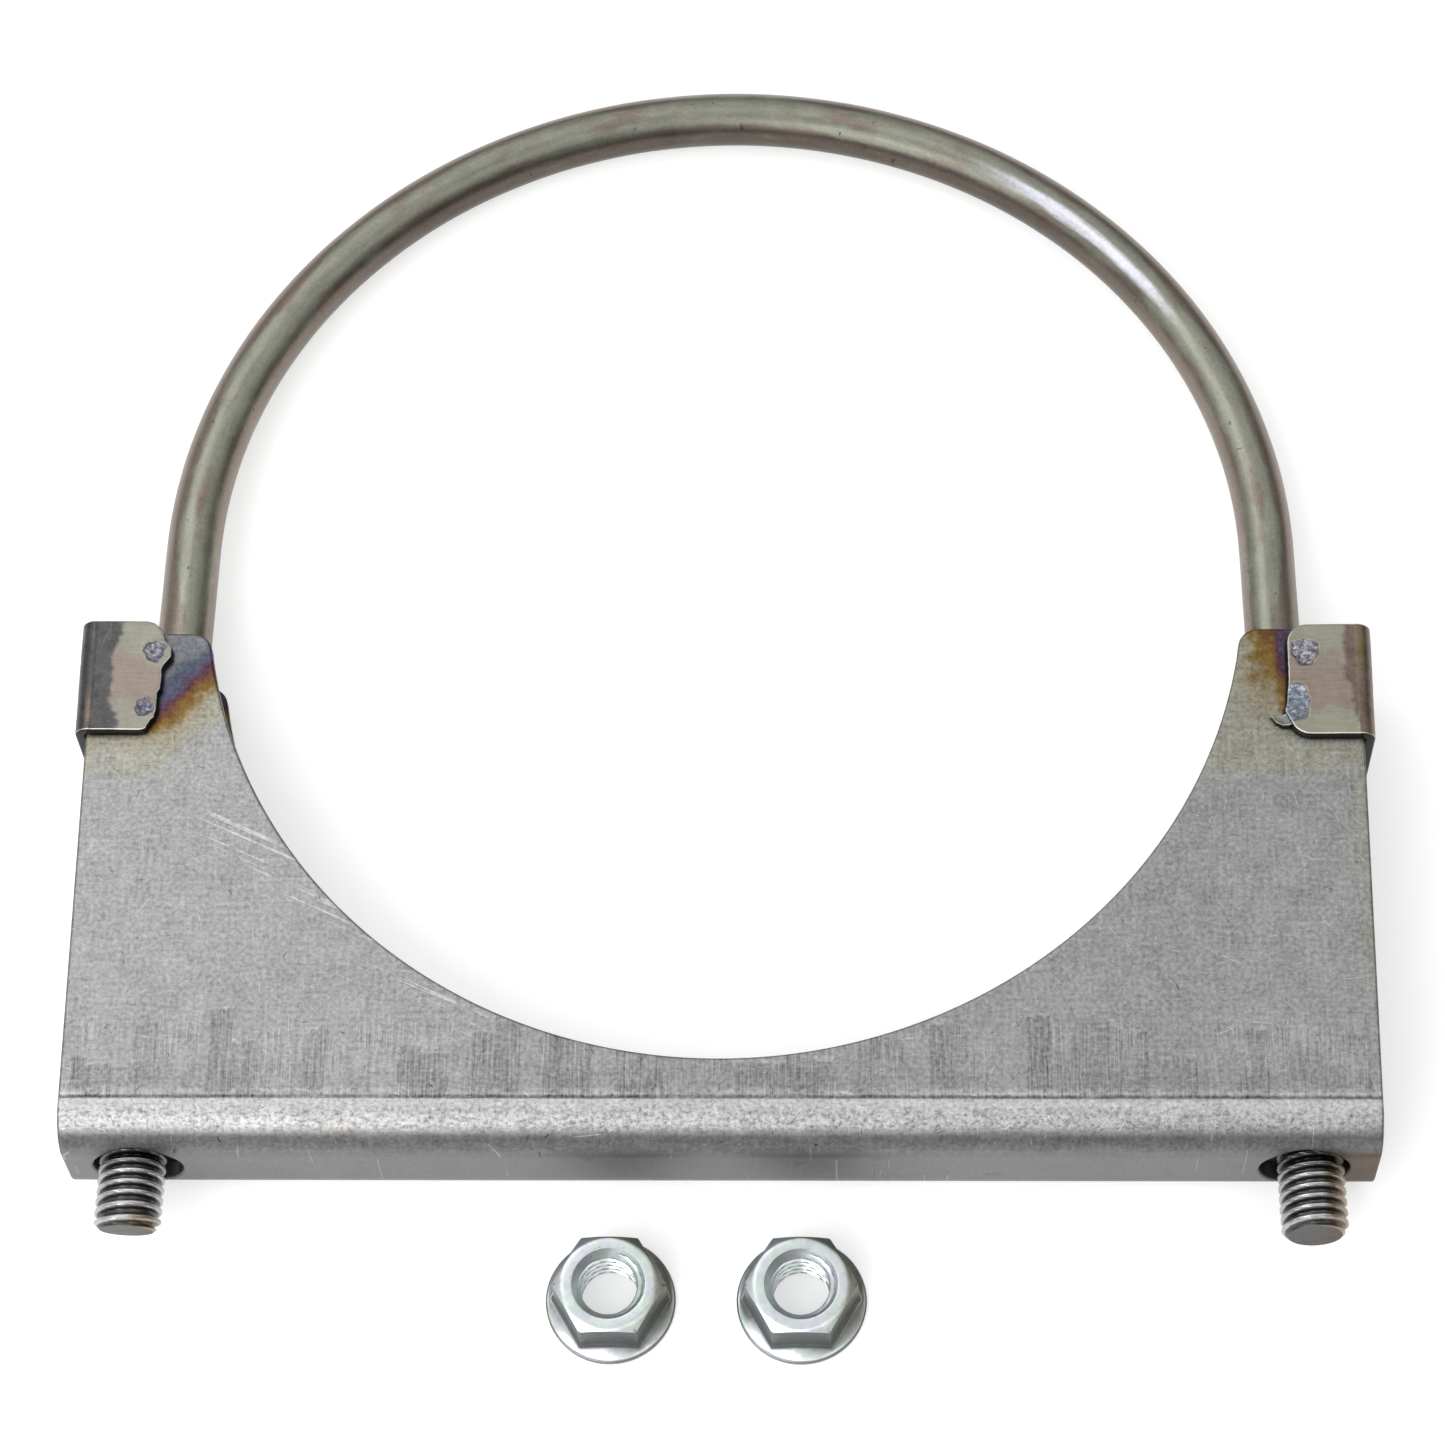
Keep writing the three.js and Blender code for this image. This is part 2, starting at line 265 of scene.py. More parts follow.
def inward_normals(loop):
    """Normals on the left of a closed loop, where its material is, evened out between points."""
    ahead = np.roll(loop, -1, axis=0) - loop
    behind = loop - np.roll(loop, 1, axis=0)
    ahead /= np.linalg.norm(ahead, axis=1)[:, None]
    behind /= np.linalg.norm(behind, axis=1)[:, None]
    along = ahead + behind
    along /= np.linalg.norm(along, axis=1)[:, None]
    stretch = 1.0 / np.clip((along * ahead).sum(axis=1), 0.5, 1.0)
    normals = np.column_stack((-along[:, 1], along[:, 0])) * stretch[:, None]
    return (np.roll(normals, 1, axis=0) + 2 * normals + np.roll(normals, -1, axis=0)) / 4


def inside(points, loop):
    """Whether each point lies within a closed loop."""
    x0, y0 = loop.T
    x1, y1 = np.roll(loop, -1, axis=0).T
    hits = np.zeros(len(points), int)
    for ax, ay, bx, by in zip(x0, y0, x1, y1):
        if ay == by:
            continue
        spans = (ay > points[:, 1]) != (by > points[:, 1])
        crossing = ax + (points[:, 1] - ay) * (bx - ax) / (by - ay)
        hits += spans & (points[:, 0] < crossing)
    return hits % 2 == 1


def in_sheet(points, loops):
    """Whether each point lies within the first loop and outside the others, the holes."""
    keep = inside(points, loops[0])
    for hole in loops[1:]:
        keep &= ~inside(points, hole)
    return keep


def clear_of(points, loops, gap):
    """The points that lie in the sheet, at least gap from its edges."""
    points = points[in_sheet(points, loops)]
    far = np.full(len(points), True)
    for start in np.concatenate(loops):
        far &= ((points - start) ** 2).sum(axis=1) > gap * gap
    return points[far]


def fill_skin(loops, inner_points):
    """Triangles over the sheet between its loops, through inner_points. The vertices are the
    loops' points in order, then inner_points."""
    vertices = np.concatenate((*loops, inner_points))
    edges = []
    start = 0
    for loop in loops:
        count = len(loop)
        edges += [(start + i, start + (i + 1) % count) for i in range(count)]
        start += count
    points, _, triangles, sources, _, _ = delaunay_2d_cdt(
        [Vector(p) for p in vertices.tolist()], edges, [], 0, 1e-6, True
    )
    source = np.array([ids[0] for ids in sources])
    points = np.array([tuple(p) for p in points])
    triangles = np.array(triangles)
    keep = in_sheet(points[triangles].mean(axis=1), loops)
    return source[triangles[keep]]


def pressed_sheet(loops, inner_points, sheet, roll_over, burr):
    """A flat blank cut from sheet: its edges are rolled over on the outer skin and keep a small
    burr on the inner one. Returns blank positions (u, v, w), faces, and how far each vertex is
    into the cut edge."""
    rim = [(roll_over + 0.2, 0.0, 0.0)]
    for angle in np.linspace(0.0, math.pi / 2, 5):
        into = math.sin(angle)
        rim.append((roll_over * (1 - into), roll_over * (1 - math.cos(angle)), into))
    rim.append((0.0, sheet - burr, 1.0))
    rim.append((burr, sheet, 0.6))
    rim.append((burr + 0.3, sheet, 0.0))
    normals = [inward_normals(loop) for loop in loops]
    blank = []
    edge = []
    for inset, depth, into in rim:
        for loop, normal in zip(loops, normals):
            moved = loop + inset * normal
            blank.append(np.column_stack((moved, np.full(len(loop), depth))))
            edge.append(np.full(len(loop), into))
    per_row = sum(len(loop) for loop in loops)
    faces = []
    for row in range(len(rim) - 1):
        start = 0
        for loop in loops:
            count = len(loop)
            for i in range(count):
                here = row * per_row + start + i
                beside = row * per_row + start + (i + 1) % count
                faces.append((here, beside, beside + per_row, here + per_row))
            start += count
    total = len(rim) * per_row
    for row, depth in ((0, 0.0), (len(rim) - 1, sheet)):
        inset = rim[row][0]
        skin_loops = [loop + inset * normal for loop, normal in zip(loops, normals)]
        triangles = fill_skin(skin_loops, inner_points)
        ids = np.concatenate((
            np.arange(per_row) + row * per_row,
            np.arange(len(inner_points)) + total,
        ))
        faces += ids[triangles].tolist()
        blank.append(np.column_stack((inner_points, np.full(len(inner_points), depth))))
        edge.append(np.zeros(len(inner_points)))
        total += len(inner_points)
    return np.concatenate(blank), faces, np.concatenate(edge)


def grid(columns, rows):
    """Every crossing of the columns and rows, as points."""
    u, v = np.meshgrid(columns, rows)
    return np.column_stack((u.ravel(), v.ravel()))


# ---------------------------------------------------------------- saddle
SADDLE = Channel(SADDLE_HALF_DEPTH, SADDLE_BEND)


def saddle_outline(row_heights):
    """Half of the blank's outline, from the middle of its right end over the front leg to the
    middle of its left end, with the tube's arc in it. row_heights are the mesh rows up the ends."""
    corner_start = ARM_TOP - ARM_INNER_CORNER
    inner_x = math.sqrt(TUBE_RADIUS**2 - (TUBE_CENTRE - corner_start) ** 2)
    top = SADDLE.skin(ARM_TOP)
    corner = (inner_x + ARM_INNER_CORNER, SADDLE.skin(corner_start))
    cut = math.atan2(corner_start - TUBE_CENTRE, inner_x)
    ends = row_heights[row_heights < top - ARM_OUTER_CORNER - 0.3]
    right_half = np.concatenate((
        np.column_stack((np.full(len(ends), SADDLE_HALF), ends)),
        line((SADDLE_HALF, top - ARM_OUTER_CORNER), (SADDLE_HALF - ARM_OUTER_CORNER, top), 0.7),
        line((SADDLE_HALF - ARM_OUTER_CORNER, top), (corner[0], top), 0.8),
        arc(corner, ARM_INNER_CORNER, math.pi / 2, math.pi, 9),
        arc((0, SADDLE.skin(TUBE_CENTRE)), TUBE_RADIUS, cut, -math.pi / 2, 96)[1:],
    ))
    left_half = right_half[:-1][::-1] * (-1, 1)
    return np.concatenate((right_half, left_half))


def saddle_relief(x, v):
    """Height of the outer skin over its true shape: a draw line above the bend, where the die's
    edge first bit, with the skin drawn down below it, and a little waviness."""
    reach = np.abs(v)
    strength = 0.7 + 0.5 * plane_noise(x / 23, np.sign(v) * 3, 5)
    groove = bell(reach, SADDLE.bend_end + 0.55, 0.28) * -0.09
    lip = bell(reach, SADDLE.bend_end + 1.25, 0.35) * 0.05
    wave = 0.03 * plane_noise(x / 31, v / 17, 8)
    return strength * (groove + lip) + wave


def arm_tint(x, y, front):
    """How far the steel beside the welds was heated, 0 for not at all and 1 for pale blue."""
    wander = 0.05 * rough_noise(x / 2.2, y / 2.2, 3) + 0.03 * rough_noise(x / 0.7, y / 0.7, 9)
    up_left = 0.69 * (-78.5 - x) + 0.725 * (y - 69.8)
    left = 0.57 + np.where(up_left > 0, 0.085, 0.075) * up_left
    left_limit = np.interp(y, (55, 60, 62.5, 65, 70), (0.0, 0.17, 0.27, 0.62, 1.0))
    left = np.minimum(left, left_limit)
    ragged_x = x + 1.1 * rough_noise(x / 1.6, y / 1.6, 33)
    right = 0.17 + 0.21 * smooth(ragged_x, 73.2, 78.8) * smooth(y, 62.5, 70.5)
    right = right + 0.15 * smooth(y, 70, 77) * smooth(ragged_x, 75, 78.5)
    right = right + 0.16 * smooth(x, 80.0, 81.5) * smooth(y, 64, 67)
    right_limit = np.interp(y, (55, 59.5, 63, 66), (0.0, 0.18, 0.3, 0.8))
    right = np.minimum(right, right_limit)
    edge_stain = 0.13 * smooth(x, 90.5, 92.5) * smooth(y, 20, 32)
    right = np.maximum(right, edge_stain)
    tint = np.where(x < 0, left, right)
    tint = np.where(tint > 0.04, tint + wander, tint)
    return np.clip(tint, 0.0, 1.0) * np.where(front, 1.0, 0.75)


def strap_gap_shadow(look, x, y):
    """1 right beside a strap's edge and 0 a little off: a painted shadow for the gap under the strap.
    """
    edge_x, edge_y = strap_edge(look)
    nearest = np.full(len(x), 9.0)
    close = np.flatnonzero((look.side * x > 78) & (y > look.bottom - 3))
    for px, py in zip(look.side * edge_x, edge_y):
        distance = np.hypot(x[close] - px, y[close] - py)
        nearest[close] = np.minimum(nearest[close], distance)
    return 1 - smooth(nearest, 0.06, 0.36)


def build_saddle():
    """The back plate: a blank folded to a channel, with the stud holes punched in its web."""
    top = SADDLE.skin(ARM_TOP)
    rows = SADDLE.rows(top, 1.6, 16)
    draw_rows = SADDLE.bend_end + np.array((0.4, 0.55, 0.7, 0.9, 1.1, 1.3, 1.45))
    rows = np.sort(np.concatenate((rows[np.abs(rows - SADDLE.bend_end - 1.0) > 0.75], draw_rows)))
    front = saddle_outline(rows[1:])
    middle_right = np.array([[SADDLE_HALF, 0.0]])
    outline = np.concatenate((middle_right, front, -middle_right, front[::-1] * (1, -1)))
    holes = []
    for side in (-1, 1):
        circle = arc((side * STUD_HOLE_X, 0), STUD_HOLE_RADIUS, 0, -2 * math.pi, 56)[:-1]
        holes.append(circle)
    loops = [outline, *holes]
    columns = np.arange(-SADDLE_HALF + 1.2, SADDLE_HALF - 1.0, 1.6)
    both_rows = np.concatenate((-rows[:0:-1], rows))
    coarse = clear_of(grid(columns, both_rows), loops, 0.9)
    fine_box = (np.abs(coarse[:, 0]) > TINTED_X) & (coarse[:, 1] > SADDLE.skin(TINTED_Y))
    fine_columns = np.arange(TINTED_X + 1, SADDLE_HALF - 0.7, 0.55)
    fine_rows = np.arange(SADDLE.skin(TINTED_Y), top - 0.7, 0.55)
    fine = grid(np.concatenate((-fine_columns, fine_columns)), fine_rows)
    fine = clear_of(fine, loops, 0.75)
    finest = grid(
        np.arange(STRAP_EDGE_X[0], SADDLE_HALF - 0.6, 0.21),
        np.arange(STRAP_EDGE_Y[0], ARM_TOP - 0.6, 0.21),
    )
    by_straps = (finest[:, 0] < STRAP_EDGE_X[1]) | (finest[:, 1] < STRAP_EDGE_Y[1])
    finest = finest[by_straps] + (0.0, SADDLE.skin(0.0))
    finest = clear_of(np.concatenate((finest, finest * (-1, 1))), loops, 0.5)
    away = fine[:, 1] - SADDLE.skin(0.0)
    reach = np.abs(fine[:, 0])
    taken = (reach > STRAP_EDGE_X[0] - 0.3) & (away > STRAP_EDGE_Y[0] - 0.3)
    taken &= (reach < STRAP_EDGE_X[1] + 0.3) | (away < STRAP_EDGE_Y[1] + 0.3)
    inner = np.concatenate((coarse[~fine_box], fine[~taken], finest))
    blank, faces, edge = pressed_sheet(loops, inner, SADDLE_SHEET, roll_over=0.4, burr=0.1)

    x, v, w = blank.T
    depth = w - saddle_relief(x, v) * (1 - w / SADDLE_SHEET)
    away, across = SADDLE.fold(v, depth)
    bend = np.clip((np.abs(v) - SADDLE.back) / (SADDLE.bend_end - SADDLE.back), 0.0, 1.0)
    # The bends bulge a little at the saddle's ends, on their inner side.
    near_end = np.exp((np.abs(x) - SADDLE_HALF) / 2)
    swell = 0.25 * np.sin(bend * math.pi) * (w / SADDLE_SHEET) * near_end
    trim = np.where(x < 0, ARM_TOP_TRIM[-1], ARM_TOP_TRIM[1]) * smooth(away, 68, ARM_TOP)
    points = np.column_stack((x + np.sign(x) * swell, away + trim, across))
    attributes = {
        "skin": np.abs(v),
        "edge": edge,
        "tint": arm_tint(x, away, v > 0) * np.where(away > 18, 1.0, 0.0),
        # inner: the channel's inner skins, which get painted shade
        "inner": smooth(w, 0.5, 2.0),
        # a painted shadow along the straps' edges
        "gap_shadow": np.maximum(*(strap_gap_shadow(look, x, away) for look in STRAPS)) * (v > 0),
    }
    return new_piece("saddle_sheet", points, faces, attributes)


# ---------------------------------------------------------------- U-bolt
class Bow:
    """Centre line of the rod in its own plane, from the right tip round the bow to the left. It
    runs straight on past both tips."""

    def __init__(self):
        start = BOW_CENTRE + BOW_RADIUS * math.sin(LEG_SPLAY)
        self.leg = (start - STUD_TIP) / math.cos(LEG_SPLAY)
        self.length = 2 * self.leg + BOW_RADIUS * (math.pi - 2 * LEG_SPLAY)

    def at(self, s):
        """Centre points and outward directions at distances s along the rod."""
        mirrored = np.where(s > self.length / 2, -1.0, 1.0)
        along = np.where(mirrored < 0, self.length - s, s)
        angle = LEG_SPLAY + np.maximum(along - self.leg, 0.0) / BOW_RADIUS
        down_leg = np.maximum(self.leg - along, 0.0)
        x = BOW_RADIUS * np.cos(angle) + down_leg * math.sin(LEG_SPLAY)
        y = BOW_CENTRE + BOW_RADIUS * np.sin(angle) - down_leg * math.cos(LEG_SPLAY)
        return mirrored * x, y, mirrored * np.cos(angle), np.sin(angle)


def from_whole(phase):
    """Distance to the nearest whole number."""
    return np.abs((phase + 0.5) % 1.0 - 0.5)


def thread_form(phase):
    """Height of a rolled external thread, 0 at the root and 1 at the crest, over one turn. The
    crest has the shallow seam that rolling leaves."""
    from_crest = from_whole(phase)
    flank = 1.0 - smooth(from_crest, 0.1, 0.4)
    seam = 0.07 * bell(from_crest, 0.0, 0.035)
    return flank - seam


def build_u_bolt():
    """The rod, swept along its bow, with a rolled thread at both ends."""
    bow = Bow()
    threaded = np.arange(STUD_CHAMFER, THREAD_LENGTH + THREAD_RUNOUT, THREAD_PITCH / THREAD_ROWS)
    chamfer = np.linspace(0.0, STUD_CHAMFER, 7)[:-1]
    end_rows = np.concatenate((chamfer, threaded))
    plain = np.linspace(end_rows[-1] + 0.3, bow.length - end_rows[-1] - 0.3, 300)
    s = np.concatenate((end_rows, plain, bow.length - end_rows[::-1]))
    theta = np.arange(ROD_SIDES) * 2 * math.pi / ROD_SIDES
    s_grid, theta_grid = np.meshgrid(s, theta, indexing="ij")

    from_tip = np.minimum(s_grid, bow.length - s_grid)
    height = thread_form(s_grid / THREAD_PITCH + theta_grid / (2 * math.pi))
    height = height + 0.035 * rough_noise(s_grid / 0.9, theta_grid * 4, 21)
    cut = THREAD_MINOR + (THREAD_MAJOR - THREAD_MINOR) * height
    plain_radius = ROD_RADIUS + 0.012 * rough_noise(s_grid / 7, theta_grid * 1.3, 12)
    runout = smooth(from_tip, THREAD_LENGTH - THREAD_RUNOUT, THREAD_LENGTH + THREAD_RUNOUT * 0.7)
    radius = cut * (1 - runout) + plain_radius * runout
    tip_limit = THREAD_MAJOR - STUD_CHAMFER + from_tip * 1.05
    radius = np.minimum(radius, np.where(from_tip < 2, tip_limit, 99.0))

    # The left tip was sheared at a slant; the slant dies out over the first turns.
    slant = math.tan(SHEARED_TIP_ANGLE) * radius * np.sin(theta_grid)
    left = (s_grid > bow.length / 2) * (1 - smooth(from_tip, 0.0, 4.0))
    x, y, out_x, out_y = bow.at(s_grid + slant * left)
    reach = radius * np.cos(theta_grid)
    points = np.stack((x + reach * out_x, y + reach * out_y, radius * np.sin(theta_grid)), axis=-1)

    # End faces: rings that close in on the middle, a little uneven from the cut.
    rows = [points]
    values = {
        "thread": [1 - runout],
        "crest": [height],
        "along": [from_tip],
        "face": [np.zeros_like(height)],
    }
    on_tip = {"thread": 1.0, "crest": 0.6, "along": 0.0, "face": 1.0}
    for which in (0, -1):
        middle = points[which].mean(axis=0)
        quarter = ROD_SIDES // 4
        normal = np.cross(points[which][quarter] - middle, points[which][0] - middle)
        normal = normal / np.linalg.norm(normal) * (1 if which == 0 else -1)
        rings = []
        for scale in END_RINGS:
            ring = middle + (points[which] - middle) * scale
            bumps = 0.05 * rough_noise(ring[:, 0] / 1.3, ring[:, 2] / 0.8, 31) * (1 - scale**4)
            rings.append(ring + bumps[:, None] * normal)
        rings = np.array(rings)
        if which == 0:
            rings = rings[::-1]
        place = 0 if which == 0 else len(rows)
        for key in values:
            values[key].insert(place, np.full(rings.shape[:2], on_tip[key]))
        rows.insert(place, rings)
    points = np.concatenate(rows)
    count = len(points)
    faces = ring_faces(count, ROD_SIDES)

    flat = points.reshape(-1, 3)
    turn = Matrix.Rotation(-U_BOLT_DROOP, 3, "X") @ Matrix.Rotation(U_BOLT_TILT, 3, "Y")
    flat = flat @ np.array(turn).T + (U_BOLT_SHIFT, 0.0, U_BOLT_LIFT)
    attributes = {key: np.concatenate(parts).ravel() for key, parts in values.items()}
    attributes["around"] = np.tile(theta, count)
    return new_piece("u_bolt_rod", flat, faces, attributes)


# ---------------------------------------------------------------- guide straps
class StrapLook:
    """What the welding left on one strap. Places are (distance from the middle of the clamp,
    height over the web), in mm."""

    def __init__(self, side, node, welds, ragged, ground_edge, flash=None):
        self.side = side
        self.node = node
        self.welds = welds  # (x, y, radius, height stretch)
        self.flash = flash  # stations of a tongue: (how far along, x, y, half width, depth)
        self.ragged = ragged
        self.ground_edge = ground_edge
        low, high = box_mm(node)
        self.bottom = low.y
        self.height = high.y - low.y
        self.outer = max(abs(low.x), abs(high.x))
        self.free_edge = min(abs(low.x), abs(high.x))
        self.channel = Channel(high.z, STRAP_BEND)


def left_ragged(y):
    """How far the left strap's free edge stands out past its line, by height."""
    bulge = 1.3 * smooth(y, 72.9, 75.3) * smooth(y, 78.2, 76.4)
    bite = -0.45 * smooth(y, 70, 69) - 0.35 * smooth(y, 66.5, 65) + 0.3 * bell(y, 65.2, 0.25)
    return bulge + bite + 0.07 * rough_noise(y / 0.9, 0 * y, 4)


def right_ragged(y):
    """The same on the right, where the lower weld has spread over the edge."""
    melt = 0.3 * bell(y, 67.6, 2.2) + 0.5 * bell(y, 66.0, 0.9)
    return melt + 0.03 * rough_noise(y / 0.8, 0 * y, 6)


LEFT_STRAP = StrapLook(
    -1, "left_guide_strap",
    welds=((83.5, 75.9, 1.5, 1.1), (84.4, 66.8, 1.35, 1.0)),
    ragged=left_ragged,
    ground_edge=lambda y: 89.5 - 1.1 * smooth(y, 75, 79) - 1.2 * smooth(y, 68, 65),
)
RIGHT_STRAP = StrapLook(
    1, "right_guide_strap",
    welds=((84.8, 75.5, 2.0, 1.05), (82.6, 67.4, 2.7, 1.12)),
    ragged=right_ragged,
    ground_edge=lambda y: 90.6 + 0.9 * smooth(y, 72, 69) + 1.2 * smooth(y, 66, 63),
    flash=(
        (0.0, 83.4, 65.2, 0.9, -0.5),
        (0.3, 82.3, 64.8, 0.95, -0.75),
        (0.6, 81.2, 64.6, 0.75, -1.0),
        (0.85, 80.3, 64.8, 0.42, -0.85),
        (1.0, 79.6, 65.4, 0.07, -0.5),
    ),
)


STRAPS = (LEFT_STRAP, RIGHT_STRAP)


def strap_climb(look):
    """The free edge of a strap's front flange, from bottom to top, straight and ragged."""
    free = look.channel.skin(look.outer - look.free_edge)
    height = look.height
    corner = STRAP_CORNER
    climb = np.concatenate((
        arc((corner, free - corner), corner, math.pi, math.pi / 2, 10),
        line((corner, free), (height - corner, free), 0.22)[1:],
        arc((height - corner, free - corner), corner, math.pi / 2, 0, 10),
    ))
    out = look.ragged(look.bottom + climb[:, 0])
    fade = smooth(climb[:, 0], 0.1, 0.9) * smooth(height - climb[:, 0], 0.3, 1.5)
    ragged = climb.copy()
    ragged[:, 1] += out * fade
    return climb, ragged


def strap_edge(look):
    """Places round the front flange's bottom and free edges: distance from the middle, height."""
    ragged = strap_climb(look)[1]
    x = look.outer + look.channel.skin(0.0) - ragged[:, 1]
    below = np.arange(x[0], look.outer - 0.4, 0.2)
    edge_x = np.concatenate((below, x))
    edge_y = look.bottom + np.concatenate((0 * below, ragged[:, 0]))
    if look.flash is not None:
        _, spine_x, spine_y, half_width, _ = np.array(look.flash[1:]).T
        under_x = np.arange(spine_x[-1], spine_x[0], 0.15)
        under_y = np.interp(under_x, spine_x[::-1], (spine_y - half_width)[::-1])
        edge_x = np.concatenate((edge_x, under_x))
        edge_y = np.concatenate((edge_y, under_y))
    return edge_x, edge_y


def strap_outline(look, rows):
    """The strap's blank: u up its height, v across it, ragged only along its front free edge."""
    free = look.channel.skin(look.outer - look.free_edge)
    height = look.height
    body = rows[(rows > 0.05) & (rows < free - STRAP_CORNER - 0.2)]
    bottom = np.column_stack((np.zeros(len(body)), body))
    climb, ragged = strap_climb(look)
    top = np.column_stack((np.full(len(body), height), body[::-1]))
    front = np.concatenate((bottom, ragged, top))
    plain = np.concatenate((bottom, climb, top))
    rear = plain[::-1] * (1, -1)
    loop = np.concatenate(([[0.0, 0.0]], front, [[height, 0.0]], rear))
    return loop[::-1]


def weld_field(look, x, y):
    """1 within a weld nugget and 0 outside it, with an uneven border, and the distance in radii."""
    nearest = np.full(np.shape(x), 9.0)
    for weld_x, weld_y, radius, stretch in look.welds:
        angle = np.arctan2(y - weld_y, x - weld_x)
        uneven = radius * (1 + 0.08 * np.sin(3 * angle + weld_y) + 0.05 * np.sin(7 * angle + weld_x))
        distance = np.hypot(x - weld_x, (y - weld_y) / stretch) / uneven
        nearest = np.minimum(nearest, distance)
    return 1 - smooth(nearest, 0.9, 1.05), nearest


def squeezed_flash(look):
    """The thin curl of metal that a weld squeezed out over the arm: a cupped tongue whose root is
    in the strap's edge and whose tip turns up."""
    t = np.linspace(0.0, 1.0, 25)
    stations, xs, ys, half_widths, heights = np.array(look.flash).T
    x = np.interp(t, stations, xs)
    y = np.interp(t, stations, ys)
    half_width = np.interp(t, stations, half_widths)
    z = look.channel.back + look.channel.radius + np.interp(t, stations, heights)
    around = np.arange(FLASH_SIDES) * math.tau / FLASH_SIDES
    across = np.cos(around)
    rows = []
    for i in range(len(t)):
        before, after = max(i - 1, 0), min(i + 1, len(t) - 1)
        ahead = np.array((x[after] - x[before], y[after] - y[before]))
        ahead /= np.linalg.norm(ahead)
        side = half_width[i] * across * (1 + 0.06 * math.sin(17 * t[i]))
        lift = 0.3 * half_width[i] * across**2 + 0.11 * np.sin(around)
        rows.append(np.column_stack((
            x[i] - side * ahead[1], y[i] + side * ahead[0], z[i] + lift
        )))
    faces = ring_faces(len(t), FLASH_SIDES)
    points = np.concatenate(rows)
    # The tongue's curled sides take the strap's painted edge highlight.
    painted_highlight = np.tile(0.4 * np.abs(across) ** 6, len(t))
    return points * (look.side, 1, 1), faces, painted_highlight


def build_strap(look):
    """A guide strap folded over an arm's end, with what the welding left on its front flange."""
    channel = look.channel
    free = channel.skin(look.outer - look.free_edge)
    rows = channel.rows(free, 0.5, 10)
    loop = strap_outline(look, rows)
    heights = np.arange(0.6, look.height - 0.4, 0.55)
    coarse = grid(heights, np.concatenate((-rows[:0:-1], rows)))
    on_front = coarse[:, 1] > channel.bend_end + 0.3
    fine_heights = np.arange(0.35, look.height - 0.2, 0.24)
    fine = grid(fine_heights, np.arange(channel.bend_end + 0.45, free + 2.4, 0.24))
    inner = np.concatenate((
        clear_of(coarse[~on_front], [loop], 0.42),
        clear_of(fine, [loop], 0.38),
    ))
    blank, faces, edge = pressed_sheet([loop], inner, STRAP_SHEET, roll_over=0.30, burr=0.06)

    u, v, w = blank.T
    x = look.outer - channel.fold(v, w)[0]
    y = look.bottom + u
    front = v > channel.bend_end
    weld, radii = weld_field(look, x, y)
    weld = weld * front
    crystals = 0.10 * rough_noise(x / 0.42, y / 0.42, 14) + 0.05 * rough_noise(x / 0.2, y / 0.2, 15)
    ring = 0.06 * bell(radii, 1.12, 0.09) * front
    dish = weld * (-0.10 - 0.12 * smooth(radii, 0.9, 0.3) + crystals)
    hammered = 0.02 * (rough_noise(x / 2.1, y / 2.1, 17) - ROUGH_PEAK) - 0.06 * front
    low_corner = smooth(u, 2.6, 0.2) * smooth(x, 87, 83.5) * (look.side > 0)
    pressed = -0.12 * smooth(x, 90, 84.5) * (1 - low_corner) * front
    relief = (dish + ring) * (1 - w / STRAP_SHEET) + hammered + pressed
    away, across = channel.fold(v, w - relief)
    points = np.column_stack((look.side * (look.outer - away), y, across))

    line_of_grind = look.ground_edge(y) + 0.34 * rough_noise(y / 0.62, x / 1.1, 23)
    ground = (1 - smooth(x, line_of_grind - 0.45, line_of_grind + 0.45)) * front * (1 - weld)
    if look.flash is not None:
        flash_points, flash_faces, painted_highlight = squeezed_flash(look)
        faces += [tuple(len(points) + i for i in face) for face in flash_faces]
        points = np.concatenate((points, flash_points))
        extra = len(flash_points)
        edge = np.concatenate((edge, painted_highlight))
        weld = np.concatenate((weld, np.full(extra, 0.35)))
        ground = np.concatenate((ground, np.ones(extra)))
    attributes = {"edge": edge, "weld": weld, "ground": ground}
    return new_piece(look.node.replace("guide_", "") + "_sheet", points, faces, attributes)


# ---------------------------------------------------------------- flange nuts
def hexagon_angles():
    """Directions round a nut, close together at its six rounded corners, with the distance of a
    corner's centre and half the angle that its rounding takes up."""
    corner_x = (NUT_HEX - NUT_HEX_CORNER) / math.cos(math.pi / 6)
    end_x = corner_x + NUT_HEX_CORNER * math.cos(math.pi / 6)
    half_turn = math.atan2(NUT_HEX_CORNER * 0.5, end_x)
    corner = np.linspace(-half_turn, half_turn, 7)
    flat = np.linspace(half_turn, math.pi / 3 - half_turn, 15)[1:-1]
    sector = np.concatenate((corner, flat))
    return np.concatenate([sector + k * math.pi / 3 for k in range(6)]), corner_x, half_turn


def hexagon_radius(angles, corner_x, half_turn):
    """Radius of the hexagon with rounded corners; a corner points along +X."""
    from_corner = np.abs((angles + math.pi / 6) % (math.pi / 3) - math.pi / 6)
    flat = NUT_HEX / np.cos(math.pi / 6 - from_corner)
    root = np.maximum(NUT_HEX_CORNER**2 - (corner_x * np.sin(from_corner)) ** 2, 0.0)
    round_off = corner_x * np.cos(from_corner) + np.sqrt(root)
    return np.where(from_corner <= half_turn + 1e-6, np.minimum(flat, round_off), flat)


